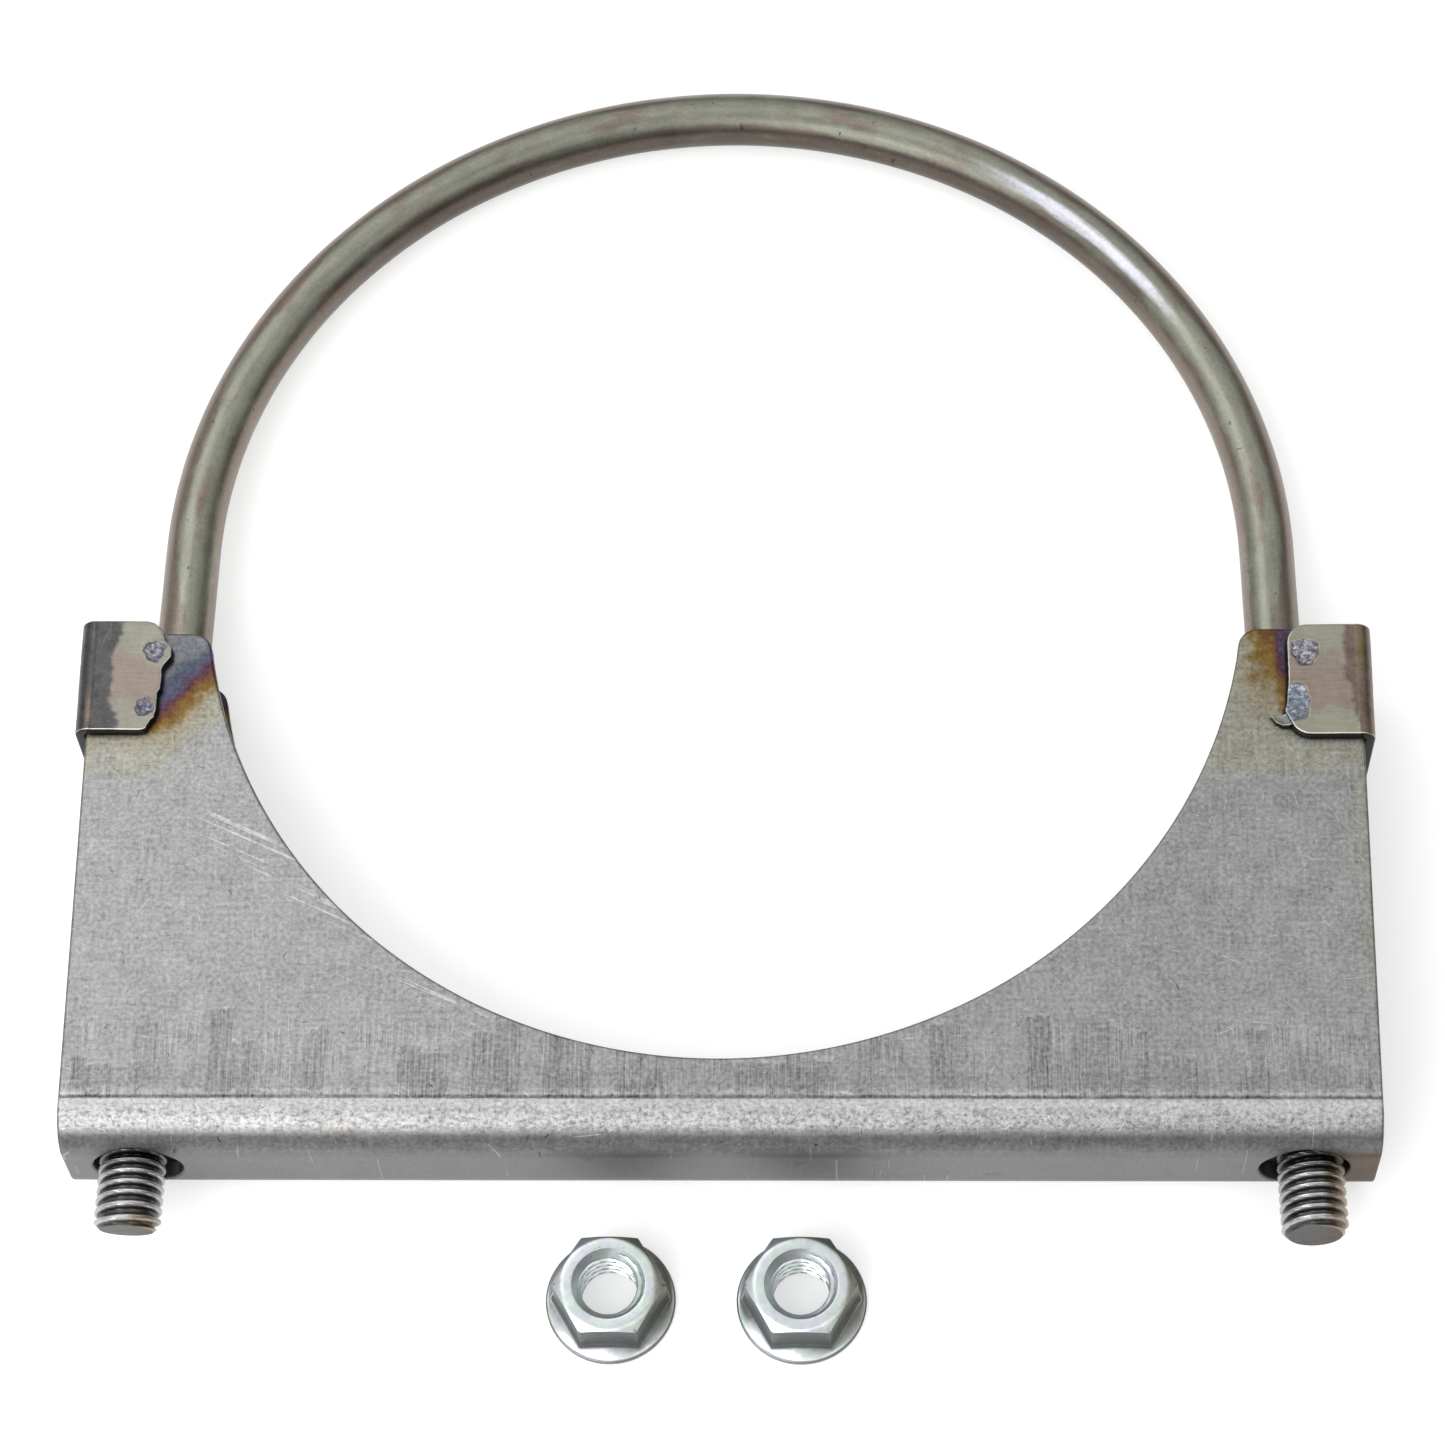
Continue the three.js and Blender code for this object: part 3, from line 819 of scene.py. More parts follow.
def build_nut(name, node, wear_seed):
    """A flange nut in the place of a CAD node, in rings round its axis."""
    low, high = box_mm(node)
    centre = (low + high) / 2
    height = high.z - low.z
    angles, corner_x, half_turn = hexagon_angles()
    hexagon = hexagon_radius(angles, corner_x, half_turn)

    def cone(radius):
        return NUT_RIM + (NUT_FLANGE - radius) * NUT_SKIRT_SLOPE

    points = []
    regions = []

    def row(radius, z, region):
        """One ring of the nut at a radius and a height over its bearing face."""
        smooth_wall = region != "thread"
        uneven = rough_noise(angles * 2.1, z / 1.7 + 0 * angles, wear_seed) - ROUGH_PEAK
        dented = radius * (1 + 0.0018 * uneven * smooth_wall)
        x = centre.x + dented * np.cos(angles)
        y = centre.y + dented * np.sin(angles)
        points.append(np.column_stack((x, y, low.z + z + 0 * angles)))
        regions.append(region)

    # From the bottom of the bore up its thread, over the top face, down the hexagon and the
    # flange, and back under to the bore.
    for z in np.arange(0.0, height + 0.001, 0.11):
        phase = z / THREAD_PITCH - angles / (2 * math.pi)
        rise = smooth(from_whole(phase), 0.08, 0.4)
        thread = NUT_THREAD_MAJOR - (NUT_THREAD_MAJOR - NUT_BORE) * rise
        mouth = NUT_MOUTH - min(z, height - z) * 0.95
        row(np.maximum(thread, mouth), z, "thread")
    lip = NUT_MOUTH + 0.12
    for t in (0.0, 0.25, 0.5, 0.75):
        row(lip + (NUT_CHAMFER_START - lip) * t, height, "top")
    tilt = math.tan(NUT_CHAMFER_ANGLE)
    for t in (0.0, 0.25, 0.6, 0.94):
        radius = NUT_CHAMFER_START + (hexagon - NUT_CHAMFER_START) * t
        rounding = 0.04 * (t == 0.0)
        row(radius, height - rounding - (radius - NUT_CHAMFER_START) * tilt, "chamfer")
    shoulder = height - 0.12 - (hexagon - NUT_CHAMFER_START) * tilt
    joint = cone(hexagon)
    for t in (0.0, 0.06, 0.5, 0.94):
        row(hexagon, shoulder + (joint + 0.55 - shoulder) * t, "flat")
    row(hexagon + 0.04, joint + 0.36, "flat")
    row(hexagon + 0.14, joint + 0.14, "flat")
    row(hexagon + 0.34, cone(hexagon + 0.34) + 0.05, "flat")
    start = hexagon + 0.42
    end = NUT_FLANGE - NUT_RIM_ROUND
    for t in (0.1, 0.5, 0.9, 1.0):
        radius = start + (end - start) * t
        row(radius, cone(radius) - 0.1 * math.sin(math.pi * t), "skirt")
    for angle in np.linspace(0.25, 1.0, 4) * math.pi / 2:
        z = NUT_RIM - 0.05 - 0.2 * (1 - math.cos(angle))
        row(end + NUT_RIM_ROUND * math.sin(angle), z, "rim")
    for inset, z in ((0.0, 0.45), (0.03, 0.2), (0.12, 0.06), (0.3, 0.0), (0.7, 0.0)):
        row(NUT_FLANGE - inset, z, "rim")
    for radius in (7.5, 6.3, NUT_MOUTH + 0.15):
        row(radius + 0 * angles, 0.0, "rim")

    faces = ring_faces(len(points), len(angles), closed_rows=True)
    # The 'stain' values carry a yellowish painted shade on the side turned right.
    stain = np.clip(np.cos(angles - NUT_SHADE_DIRECTION), 0, 1)
    attributes = {
        "flat": np.repeat([region == "flat" for region in regions], len(angles)),
        "rim": np.repeat([region == "rim" for region in regions], len(angles)),
        "stain": np.concatenate([stain * NUT_SIDE_SHADE[region] for region in regions]),
    }
    return new_piece(name, np.concatenate(points), faces, attributes, sharp_angle=35)


# ---------------------------------------------------------------- node graphs
class Graph:
    """A material's node graph. Places are object coordinates in millimetres."""

    def __init__(self, name):
        self.material = bpy.data.materials.new(name)
        self.material.use_nodes = True
        self.tree = self.material.node_tree
        self.shader = self.tree.nodes["Principled BSDF"]
        where = self.node("ShaderNodeTexCoord").outputs["Object"]
        self.place = self.vector("SCALE", where, scale=1000.0)
        self.x, self.y, self.z = self.split("XYZ", self.place)

    def node(self, kind, **settings):
        made = self.tree.nodes.new(kind)
        for key, value in settings.items():
            setattr(made, key, value)
        return made

    def feed(self, socket, value):
        if isinstance(value, bpy.types.NodeSocket):
            self.tree.links.new(value, socket)
        else:
            socket.default_value = value

    def split(self, kind, value):
        """The three parts of a place ("XYZ") or a colour ("Color")."""
        made = self.node("ShaderNodeSeparate" + kind)
        self.feed(made.inputs[0], value)
        return made.outputs

    def math(self, operation, a, b=0.0):
        made = self.node("ShaderNodeMath", operation=operation)
        self.feed(made.inputs[0], a)
        self.feed(made.inputs[1], b)
        return made.outputs[0]

    def minus(self, a, b):
        return self.math("SUBTRACT", a, b)

    def size_of(self, value):
        return self.math("ABSOLUTE", value)

    def add(self, a, b):
        return self.math("ADD", a, b)

    def times(self, a, b):
        return self.math("MULTIPLY", a, b)

    def vector(self, operation, a, b=(0.0, 0.0, 0.0), scale=None):
        made = self.node("ShaderNodeVectorMath", operation=operation)
        self.feed(made.inputs[0], a)
        if scale is None:
            self.feed(made.inputs[1], b)
        else:
            made.inputs["Scale"].default_value = scale
        return made.outputs[0]

    def join(self, x, y, z=0.0):
        made = self.node("ShaderNodeCombineXYZ")
        for socket, value in zip(made.inputs, (x, y, z)):
            self.feed(socket, value)
        return made.outputs[0]

    def noise(self, size, detail=3.0, roughness=0.55, where=None):
        """Noise from 0 to 1 with features of about that size in mm."""
        made = self.node("ShaderNodeTexNoise")
        self.feed(made.inputs["Vector"], self.place if where is None else where)
        made.inputs["Scale"].default_value = 1.0 / size
        made.inputs["Detail"].default_value = detail
        made.inputs["Roughness"].default_value = roughness
        return made.outputs[0]

    def stretched(self, stretch, detail, roughness, where=None):
        """Noise with so many features to a mm along each axis."""
        spread = self.vector("MULTIPLY", self.place if where is None else where, stretch)
        return self.noise(1.0, detail, roughness, spread)

    def turned(self, degrees):
        """The place turned about the upright axis."""
        made = self.node("ShaderNodeVectorRotate", rotation_type="Z_AXIS")
        self.feed(made.inputs["Vector"], self.place)
        made.inputs["Angle"].default_value = math.radians(degrees)
        return made.outputs[0]

    def span(self, value, low, high, to_low=0.0, to_high=1.0):
        """value turned from low..high to to_low..to_high, held at the ends."""
        made = self.node("ShaderNodeMapRange", interpolation_type="SMOOTHSTEP")
        for socket, number in zip(made.inputs, (value, low, high, to_low, to_high)):
            self.feed(socket, number)
        return made.outputs[0]

    def sway(self, value, amount):
        """A noise turned to run evenly about 0."""
        return self.times(self.minus(value, 0.5), amount)

    def total(self, *values):
        result = values[0]
        for value in values[1:]:
            result = self.add(result, value)
        return result

    def product(self, *values):
        result = values[0]
        for value in values[1:]:
            result = self.times(result, value)
        return result

    def dimmed(self, mask, amount):
        """A factor of 1 off the mask and 1 - amount on it."""
        return self.add(1.0, self.times(mask, -amount))

    def mottled(self, *noises):
        """A factor about 1 from pairs of a noise and its amount."""
        return self.total(1.0, *(self.sway(value, amount) for value, amount in noises))

    def band(self, value, centre, half_width):
        """1 at the centre of a band, falling softly to 0 at its sides."""
        off = self.size_of(self.minus(value, centre))
        return self.span(off, half_width, 0.2 * half_width)

    def patch(self, x_span, y_span, soft):
        """1 over a rectangle of the plan view, in mm, with soft sides."""
        sides = []
        for value, (low, high) in ((self.x, x_span), (self.y, y_span)):
            sides.append(self.span(value, low - soft, low + soft))
            sides.append(self.span(value, high + soft, high - soft))
        return self.product(*sides)

    def blend(self, factor, a, b):
        """From colour a to colour b; a fixed colour is a tuple of three."""
        made = self.node("ShaderNodeMix", data_type="RGBA")
        self.feed(made.inputs[0], factor)
        for socket, colour in zip(made.inputs[6:8], (a, b)):
            self.feed(socket, (*colour, 1.0) if isinstance(colour, tuple) else colour)
        return made.outputs[2]

    def shade(self, colour, factor):
        """colour made lighter or darker by a factor."""
        return self.vector("MULTIPLY", colour, self.join(factor, factor, factor))

    def ramp(self, value, stops):
        """Colours along 0 to 1; the first stop is at 0 and the last at 1."""
        made = self.node("ShaderNodeValToRGB")
        self.feed(made.inputs[0], value)
        elements = made.color_ramp.elements
        elements[0].color = (*stops[0][1], 1.0)
        elements[-1].color = (*stops[-1][1], 1.0)
        for position, colour in stops[1:-1]:
            elements.new(position).color = (*colour, 1.0)
        return made.outputs[0]

    def attribute(self, name):
        return self.node("ShaderNodeAttribute", attribute_name=name).outputs["Fac"]

    def strokes(self, cell, length, width, seed, fill):
        """Short strokes at random angles, one to a cell of that size in mm, 1 on a stroke."""
        shifted = self.vector("ADD", self.place, (seed * 13.7, seed * 7.1, seed * 3.3))
        cells = self.node("ShaderNodeTexVoronoi", voronoi_dimensions="3D")
        self.feed(cells.inputs["Vector"], shifted)
        cells.inputs["Scale"].default_value = 1.0 / cell
        direction, share, chance = self.split("Color", cells.outputs["Color"])
        local = self.vector("SUBTRACT", shifted, cells.outputs["Position"])
        turned = self.node("ShaderNodeVectorRotate", rotation_type="AXIS_ANGLE")
        self.feed(turned.inputs["Vector"], local)
        self.feed(turned.inputs["Angle"], self.times(direction, math.tau))
        x, y, _ = self.split("XYZ", turned.outputs[0])
        along = self.math("LESS_THAN", self.size_of(x), self.times(share, length))
        across = self.span(self.size_of(y), width, 0.3 * width)
        chosen = self.math("LESS_THAN", chance, fill)
        return self.product(along, across, chosen)

    def finish(self, colour, roughness, height):
        """The bare metal's material; height is in mm."""
        self.feed(self.shader.inputs["Base Color"], colour)
        self.feed(self.shader.inputs["Roughness"], roughness)
        self.shader.inputs["Metallic"].default_value = 1.0
        bump = self.node("ShaderNodeBump")
        bump.inputs["Distance"].default_value = MM
        self.feed(bump.inputs["Height"], height)
        self.feed(self.shader.inputs["Normal"], bump.outputs[0])
        return self.material


# ---------------------------------------------------------------- materials
ROD_BROWN = (0.215, 0.18, 0.152)
ROD_OLIVE = (0.25, 0.255, 0.208)
ROD_HIGHLIGHT = (0.62, 0.62, 0.68)
THREAD_ROOTS_SHADED = ((0.078, 0.077, 0.075), (0.10, 0.085, 0.06))  # clean, rusty
THREAD_CRESTS_LIT = ((0.42, 0.42, 0.42), (0.32, 0.26, 0.20))
SHEARED_TIPS = ((0.105, 0.10, 0.095), (0.105, 0.082, 0.068))
ZINC_BLOOM = ((0.55, 0.565, 0.605), (0.52, 0.59, 0.555))
ZINC_SHADE = (0.27, 0.275, 0.21)
BLACK = (0.010, 0.010, 0.011)
STRAP_EDGE_HIGHLIGHT = (0.62, 0.61, 0.64)
LEFT_STRAP_FINISH = {
    "scale": (0.075, 0.075, 0.076),
    "streak": (0.155, 0.12, 0.095),
    "streak_x": 92.7,
    "streak_y": 66.0,
    "scratched": 1.0,
    "pink_lean": 0.45,
    "pink": (0.225, 0.186, 0.160),
    "olive": (0.225, 0.228, 0.184),
    "weld_dark": (0.095, 0.09, 0.105),
    "weld_glint": (0.19, 0.19, 0.22),
    "low_weld": (0.085, 0.082, 0.115),
}
RIGHT_STRAP_FINISH = {
    "scale": (0.165, 0.125, 0.105),
    "streak": (0.17, 0.155, 0.07),
    "streak_x": 92.9,
    "streak_y": 76.0,
    "scratched": 0.0,
    "pink_lean": 0.0,
    "pink": (0.265, 0.218, 0.187),
    "olive": (0.29, 0.285, 0.225),
    "weld_dark": (0.095, 0.09, 0.10),
    "weld_glint": (0.25, 0.245, 0.28),
    "low_weld": (0.105, 0.15, 0.19),
}

# Bare steel, then the colours it takes as it is heated more, to pale blue
TINT_COLOURS = (
    (0.0, (0.40, 0.40, 0.397)),
    (0.16, (0.40, 0.395, 0.335)),
    (0.33, (0.375, 0.34, 0.25)),
    (0.47, (0.245, 0.152, 0.042)),
    (0.56, (0.18, 0.085, 0.05)),
    (0.63, (0.11, 0.052, 0.075)),
    (0.72, (0.11, 0.10, 0.165)),
    (0.84, (0.092, 0.116, 0.15)),
    (1.0, (0.215, 0.218, 0.238)),
)
SADDLE_TONE = 0.70
SADDLE_STAIN = (0.225, 0.155, 0.118)
CRACKLE_SIZE = 0.5
CRACKLE_STRETCH = (0.75, 1.0, 1.0)
# Painted shade darkens the bend's lower half below this point.
BEND_SHADE_START = 10.1  # along the skin from the middle of the web: the bend's lower half
DRAW_COLUMN = 3.4  # width of one draw mark


def saddle_material():
    """Bare mill-finish steel: mottled, finely scratched, drawn down above the bend, heat-tinted."""
    g = Graph("bare_pressed_steel")
    skin = g.attribute("skin")
    flat = g.span(skin, SADDLE.bend_end, SADDLE.bend_end + 0.8)
    bend = g.times(g.span(skin, SADDLE.bend_end + 0.4, SADDLE.bend_end + 0.1), g.span(skin, 9.2, 10.4))
    web = g.span(skin, 7.0, 5.0)

    cloud = g.noise(24, 2.0)
    mottle = g.noise(3.0, 5.0, 0.65)
    grain = g.noise(0.62, 3.0, 0.65)
    upright = g.stretched((1.6, 0.16, 0.2), 3.0, 0.6)
    level = g.stretched((0.14, 1.7, 0.2), 3.0, 0.6)
    noises = ((mottle, 0.62), (grain, 1.4), (upright, 0.5), (level, 0.46))
    texture = g.total(*(g.sway(value, amount) for value, amount in noises))
    texture = g.times(texture, g.dimmed(web, 0.6))
    tone = g.total(1.0, g.sway(cloud, 0.18), texture)

    # Draw marks: flat-topped patches of upright lines above the bend, over a duller foot.
    wobble = g.times(g.noise(6.0), 0.5)
    column = g.math("FLOOR", g.add(g.times(g.x, 1.0 / DRAW_COLUMN), wobble))
    chance = g.node("ShaderNodeTexWhiteNoise", noise_dimensions="2D")
    g.feed(chance.inputs["Vector"], g.join(column, g.math("SIGN", g.z)))
    first, second, _ = g.split("Color", chance.outputs["Color"])
    chosen = g.span(first, 0.35, 0.6)
    patch_top = g.span(second, 0.0, 1.0, 11.5, 20.0)
    over = g.minus(g.y, g.add(patch_top, g.sway(g.noise(1.2), 1.6)))
    within = g.product(flat, g.span(g.size_of(g.x), 91.9, 91.2))
    patch = g.product(chosen, g.span(over, 0.5, -0.3), within)
    rim = g.product(chosen, g.band(over, 0.3, 0.5), within, g.span(g.noise(2.0), 0.45, 0.6))
    foot_top = g.add(10.5, g.sway(g.noise(5.0, 4.0), 11.0))
    foot = g.times(g.span(g.minus(g.y, foot_top), 1.4, -1.0), within)
    lines = g.stretched((3.6, 0.11, 0.1), 2.0, 0.7)
    lined = g.product(g.span(g.noise(7.0, 1.0), 0.42, 0.6), g.span(g.y, 20.0, 17.0), within)
    lined = g.math("MAXIMUM", patch, lined)
    scuff = g.total(
        g.times(patch, -0.13),
        g.times(foot, -0.07),
        g.times(rim, 0.26),
        g.times(g.sway(lines, 1.45), lined),
    )
    tone = g.add(tone, scuff)

    # The die's line above the bend: a speckled painted highlight on the lip over a painted shadow in
    # the groove.
    speckle = g.span(g.noise(0.9, 3.0), 0.35, 0.62)
    lip = g.times(g.band(skin, SADDLE.bend_end + 1.35, 0.7), g.times(speckle, 0.32))
    groove = g.times(g.band(skin, SADDLE.bend_end + 0.5, 0.42), -0.42)
    tone = g.total(tone, lip, g.times(groove, g.span(g.noise(9.0, 3.0), 0.25, 0.5)))

    # Stretched skin of the bend, crackled; the web behind it smoother. The web and the bend's lower
    # half are darkened with painted shade.
    crackle = g.noise(CRACKLE_SIZE, 3.0, 0.7, g.vector("MULTIPLY", g.place, CRACKLE_STRETCH))
    cracks = g.span(crackle, 0.50, 0.40)
    # The upper bend is lightened: partly the die's burnish, partly a painted highlight that widens the
    # bend's bright band.
    burnish_and_sheen = g.span(skin, 11.9, 13.8, 0.02, 0.55)
    tone = g.add(tone, g.times(bend, g.total(g.sway(crackle, 1.2), g.times(cracks, -0.18), burnish_and_sheen)))
    lower_bend_shade = g.times(g.span(skin, BEND_SHADE_START, BEND_SHADE_START - 1.5), g.span(skin, 5.0, 7.0))
    tone = g.product(tone, g.dimmed(web, 0.37), g.dimmed(lower_bend_shade, 0.46))

    # Scratches: short ones everywhere, and a bundle running down to the cut-out on the left arm.
    bright = g.strokes(9.0, 1.9, 0.09, 1, 0.55)
    small_bright = g.strokes(3.6, 0.7, 0.08, 2, 0.5)
    dark = g.strokes(5.0, 0.6, 0.11, 3, 0.4)
    raked = g.stretched((0.035, 1.9, 0.05), 1.0, 0.4, g.turned(25))
    off_line = g.minus(g.y, g.add(g.times(g.x, -0.71), -3.0))
    bundle = g.product(
        g.span(raked, 0.60, 0.66),
        g.span(g.size_of(off_line), 9.0, 3.0),
        g.patch((-75, -34), (15, 60), 4.0),
        g.span(g.z, 9, 10),
        g.span(g.noise(4.0), 0.35, 0.6),
    )
    marks = g.times(g.add(bright, small_bright), 0.45)
    marks = g.total(marks, g.times(bundle, 0.6), g.times(dark, -0.45))
    tone = g.add(tone, marks)

    tint = g.add(g.attribute("tint"), g.sway(g.noise(0.9, 4.0, 0.7), 0.12))
    steel = g.ramp(tint, TINT_COLOURS)
    stain_place = g.times(g.span(g.x, 80, 88), web)
    spots = g.times(g.span(g.noise(7.0), 0.66, 0.74), 0.35)
    stain = g.times(g.add(stain_place, spots), g.total(web, g.times(bend, 0.6), lower_bend_shade))
    stain = g.math("MINIMUM", stain, 1.0)
    steel = g.blend(stain, steel, SADDLE_STAIN)
    # The cut edges are darkened by half and the inner skins by nearly half: painted shade.
    edge = g.attribute("edge")
    inner = g.dimmed(g.attribute("inner"), 0.45)
    steel = g.shade(steel, g.product(SADDLE_TONE, tone, inner, g.dimmed(edge, 0.5)))
    # Painted shadow, near black, beside the straps' edges on the arms.
    steel = g.blend(g.times(g.attribute("gap_shadow"), 0.95), steel, BLACK)

    roughness = g.total(0.38, g.times(mottle, 0.14), g.times(patch, 0.05), g.times(web, 0.02))
    height = g.total(
        g.times(grain, 0.016),
        g.times(mottle, 0.02),
        g.product(bend, crackle, 0.05),
        g.product(lined, lines, 0.02),
        g.times(marks, -0.03),
    )
    return g.finish(steel, roughness, height)


def rod_material():
    """Oily drawn steel, brown and olive in turns; its rolled threads have painted shade in their roots
    and painted highlights on their crests.
    """
    g = Graph("drawn_rod_steel")
    along = g.attribute("along")
    around = g.attribute("around")
    thread = g.attribute("thread")
    face = g.attribute("face")
    cosine = g.math("COSINE", around)
    sine = g.math("SINE", around)
    lengthways = g.join(g.times(along, 0.11), g.times(cosine, 5.0), g.times(sine, 5.0))
    drawn = g.noise(1.0, 3.0, 0.6, lengthways)
    drift = g.noise(1.0, 4.0, 0.6, g.join(g.times(along, 0.08), cosine, sine))
    patches = g.noise(4.0, 3.0, 0.6)
    # The sides of the rod are browner than its top.
    on_top = g.span(g.size_of(g.add(cosine, 0.2)), 0.3, 0.75, 0.09, -0.13)
    olive = g.blend(g.span(g.add(drift, on_top), 0.42, 0.58), ROD_BROWN, ROD_OLIVE)
    tone = g.mottled((drawn, 0.5), (patches, 0.4), (g.noise(0.5, 3.0), 0.4))
    pits = g.strokes(5.0, 0.35, 0.16, 4, 0.4)
    flecks = g.strokes(6.0, 0.4, 0.14, 6, 0.3)
    tone = g.total(tone, g.times(pits, -0.4), g.times(flecks, 0.25))
    # The inside of the crown is darkened with painted shade; a streak along the right shoulder is a
    # painted highlight.
    crown = g.times(g.span(cosine, -0.05, -0.75, 0.0, -0.5), g.span(g.y, 120.0, 165.0))
    tone = g.times(tone, g.add(1.0, crown))
    shoulder = g.patch((40, 80), (142, 170), 10.0)
    painted_highlight = g.product(shoulder, g.band(g.add(cosine, g.sway(drawn, 0.35)), -0.37, 0.36))
    painted_highlight = g.times(painted_highlight, g.add(1.0, g.sway(g.noise(1.2, 4.0, 0.6), 0.8)))
    olive = g.blend(g.span(painted_highlight, 0.05, 1.05), olive, ROD_HIGHLIGHT)
    plain = g.shade(olive, tone)

    # Painted shade in the thread roots and painted highlights on the crests, varied by noise.
    crest_lighting = g.add(g.span(g.attribute("crest"), 0.15, 0.85), g.sway(g.noise(0.6, 3.0), 0.6))
    # Rust has taken the outer half of the right stud and one corner of the left.
    rusty_side = g.span(g.add(g.x, g.sway(g.noise(2.0, 3.0), 3.5)), 84.4, 86.0)
    rust = g.math("MAXIMUM", rusty_side, g.patch((-82.5, -78.0), (-14.0, -8.5), 1.2))
    root = g.blend(rust, *THREAD_ROOTS_SHADED)
    lit_crests = g.blend(rust, *THREAD_CRESTS_LIT)
    threads = g.blend(g.span(crest_lighting, 0.35, 1.0), root, lit_crests)
    # They are in shadow where they go into the web.
    threads = g.shade(threads, g.span(g.y, -2.6, 0.2, 1.0, 0.3))
    colour = g.blend(thread, plain, threads)
    sheared = g.blend(rust, *SHEARED_TIPS)
    sheared = g.shade(sheared, g.mottled((patches, 0.7), (g.noise(0.5, 4.0), 0.9)))
    colour = g.blend(face, colour, sheared)

    roughness = g.total(0.29, g.times(patches, 0.14), g.times(face, 0.15), g.times(thread, 0.03))
    height = g.total(
        g.times(drawn, 0.012),
        g.times(g.noise(0.7, 3.0), 0.010),
        g.product(thread, g.noise(0.3, 3.0), 0.03),
        g.times(pits, -0.04),
    )
    return g.finish(colour, roughness, height)


def strap_material(name, look, finish):
    """Strap steel with dark mill scale, ground bright round its welds."""
    g = Graph(name)
    edge = g.attribute("edge")
    weld = g.attribute("weld")
    ground = g.attribute("ground")
    from_middle = g.times(g.x, float(look.side))
    upright = g.stretched((1.5, 0.12, 1.0), 3.0, 0.6)
    level = g.stretched((0.3, 3.2, 0.4), 3.0, 0.6)
    mottle = g.noise(1.6, 4.0, 0.65)
    grain = g.noise(0.45, 3.0, 0.65)

    streak = g.times(
        g.band(g.add(from_middle, g.sway(g.noise(1.0), 0.6)), finish["streak_x"], 0.7),
        g.band(g.y, finish["streak_y"], 4.2),
    )
    rusty = g.math("MAXIMUM", g.span(upright, 0.60, 0.72), streak)
    scale = g.blend(rusty, finish["scale"], finish["streak"])
    scale = g.shade(scale, g.mottled((mottle, 1.3), (grain, 0.8)))

    # Pencil-thin scratches through the scale near the top of the flat.
    thin = g.stretched((0.08, 2.6, 0.1), 1.0, 0.4, g.turned(68 * look.side))
    scratch_zone = g.product(
        g.span(from_middle, 88.0, 89.2),
        g.span(from_middle, 91.6, 90.8),
        g.span(g.y, look.bottom + 12.0, look.bottom + 13.5),
    )
    scratched = g.product(g.span(thin, 0.58, 0.66), scratch_zone, finish["scratched"])
    scale = g.blend(scratched, scale, finish["olive"])

    off_middle = g.size_of(g.minus(g.y, look.bottom + 0.48 * look.height))
    leaned = g.times(g.minus(88.5, from_middle), finish["pink_lean"])
    leaned = g.times(leaned, g.span(g.y, look.bottom + 7.0, look.bottom + 9.5))
    tint = g.span(g.total(off_middle, leaned, g.sway(g.noise(3.0), 8.0)), 3.4, 5.2)
    bright = g.blend(tint, finish["pink"], finish["olive"])
    bright = g.shade(bright, g.mottled((level, 0.45), (mottle, 0.3), (grain, 0.25)))
    colour = g.blend(ground, scale, bright)

    crystal = g.node("ShaderNodeTexVoronoi")
    g.feed(crystal.inputs["Vector"], g.place)
    crystal.inputs["Scale"].default_value = 4.2
    facet, facet_height, _ = g.split("Color", crystal.outputs["Color"])
    glint = g.total(g.times(facet, 0.5), g.sway(g.noise(0.9, 4.0, 0.65), 2.4), 0.25)
    # The lower weld is bluer. The nuggets' bright grains are painted glints over their crystalline
    # texture, brighter on the lower weld and the upper weld's bottom.
    dark = g.blend(g.span(g.y, 73.5, 69.5), finish["weld_dark"], finish["low_weld"])
    glint_gain = g.math("MAXIMUM", g.span(g.y, 66.5, 69.5, 1.25, 1.9), g.span(g.y, 71.0, 73.0))
    glinting_grain = g.shade(finish["weld_glint"], glint_gain)
    nugget = g.blend(g.span(glint, 0.1, 1.1), dark, glinting_grain)
    colour = g.blend(weld, colour, nugget)
    colour = g.shade(colour, g.dimmed(g.band(weld, 0.5, 0.4), 0.28))

    # Rolled edges get a painted highlight; the cut faces are painted black, as painted shade.
    colour = g.blend(g.times(g.band(edge, 0.4, 0.3), 0.6), colour, STRAP_EDGE_HIGHLIGHT)
    colour = g.blend(g.times(g.span(edge, 0.62, 0.92), 0.95), colour, BLACK)

    roughness = g.add(0.30, g.times(mottle, 0.18))
    height = g.total(
        g.times(grain, 0.014),
        g.times(mottle, 0.025),
        g.product(ground, level, 0.02),
        g.product(weld, facet_height, 0.06),
    )
    return g.finish(colour, roughness, height)


def zinc_material():
    """Bright zinc plate with a faint blue and green bloom, rougher on the wrench flats. Painted shade
    darkens the flats and the rim, and a yellowish painted shade lies on the side turned right."""
    g = Graph("bright_zinc_plate")
    bloom = g.noise(3.0, 2.0)
    spots = g.noise(0.8, 4.0, 0.7)
    tone = g.total(1.0, g.sway(g.noise(1.5, 3.0), 0.5), g.times(g.span(spots, 0.62, 0.70), -0.3))
    # Painted shade: the wrench flats and the rim are darkened.
    tone = g.product(
        tone,
        g.dimmed(g.attribute("flat"), 0.80),
        g.dimmed(g.attribute("rim"), 0.65),
    )
    colour = g.blend(g.span(bloom, 0.4, 0.6), *ZINC_BLOOM)
    # A yellowish painted shade on the side turned right.
    colour = g.blend(g.times(g.attribute("stain"), 0.8), colour, ZINC_SHADE)
    colour = g.shade(colour, tone)
    roughness = g.total(0.24, g.times(spots, 0.14), g.times(g.attribute("flat"), 0.1))
    height = g.total(g.times(g.noise(1.1, 3.0), 0.03), g.times(spots, 0.01))
    return g.finish(colour, roughness, height)


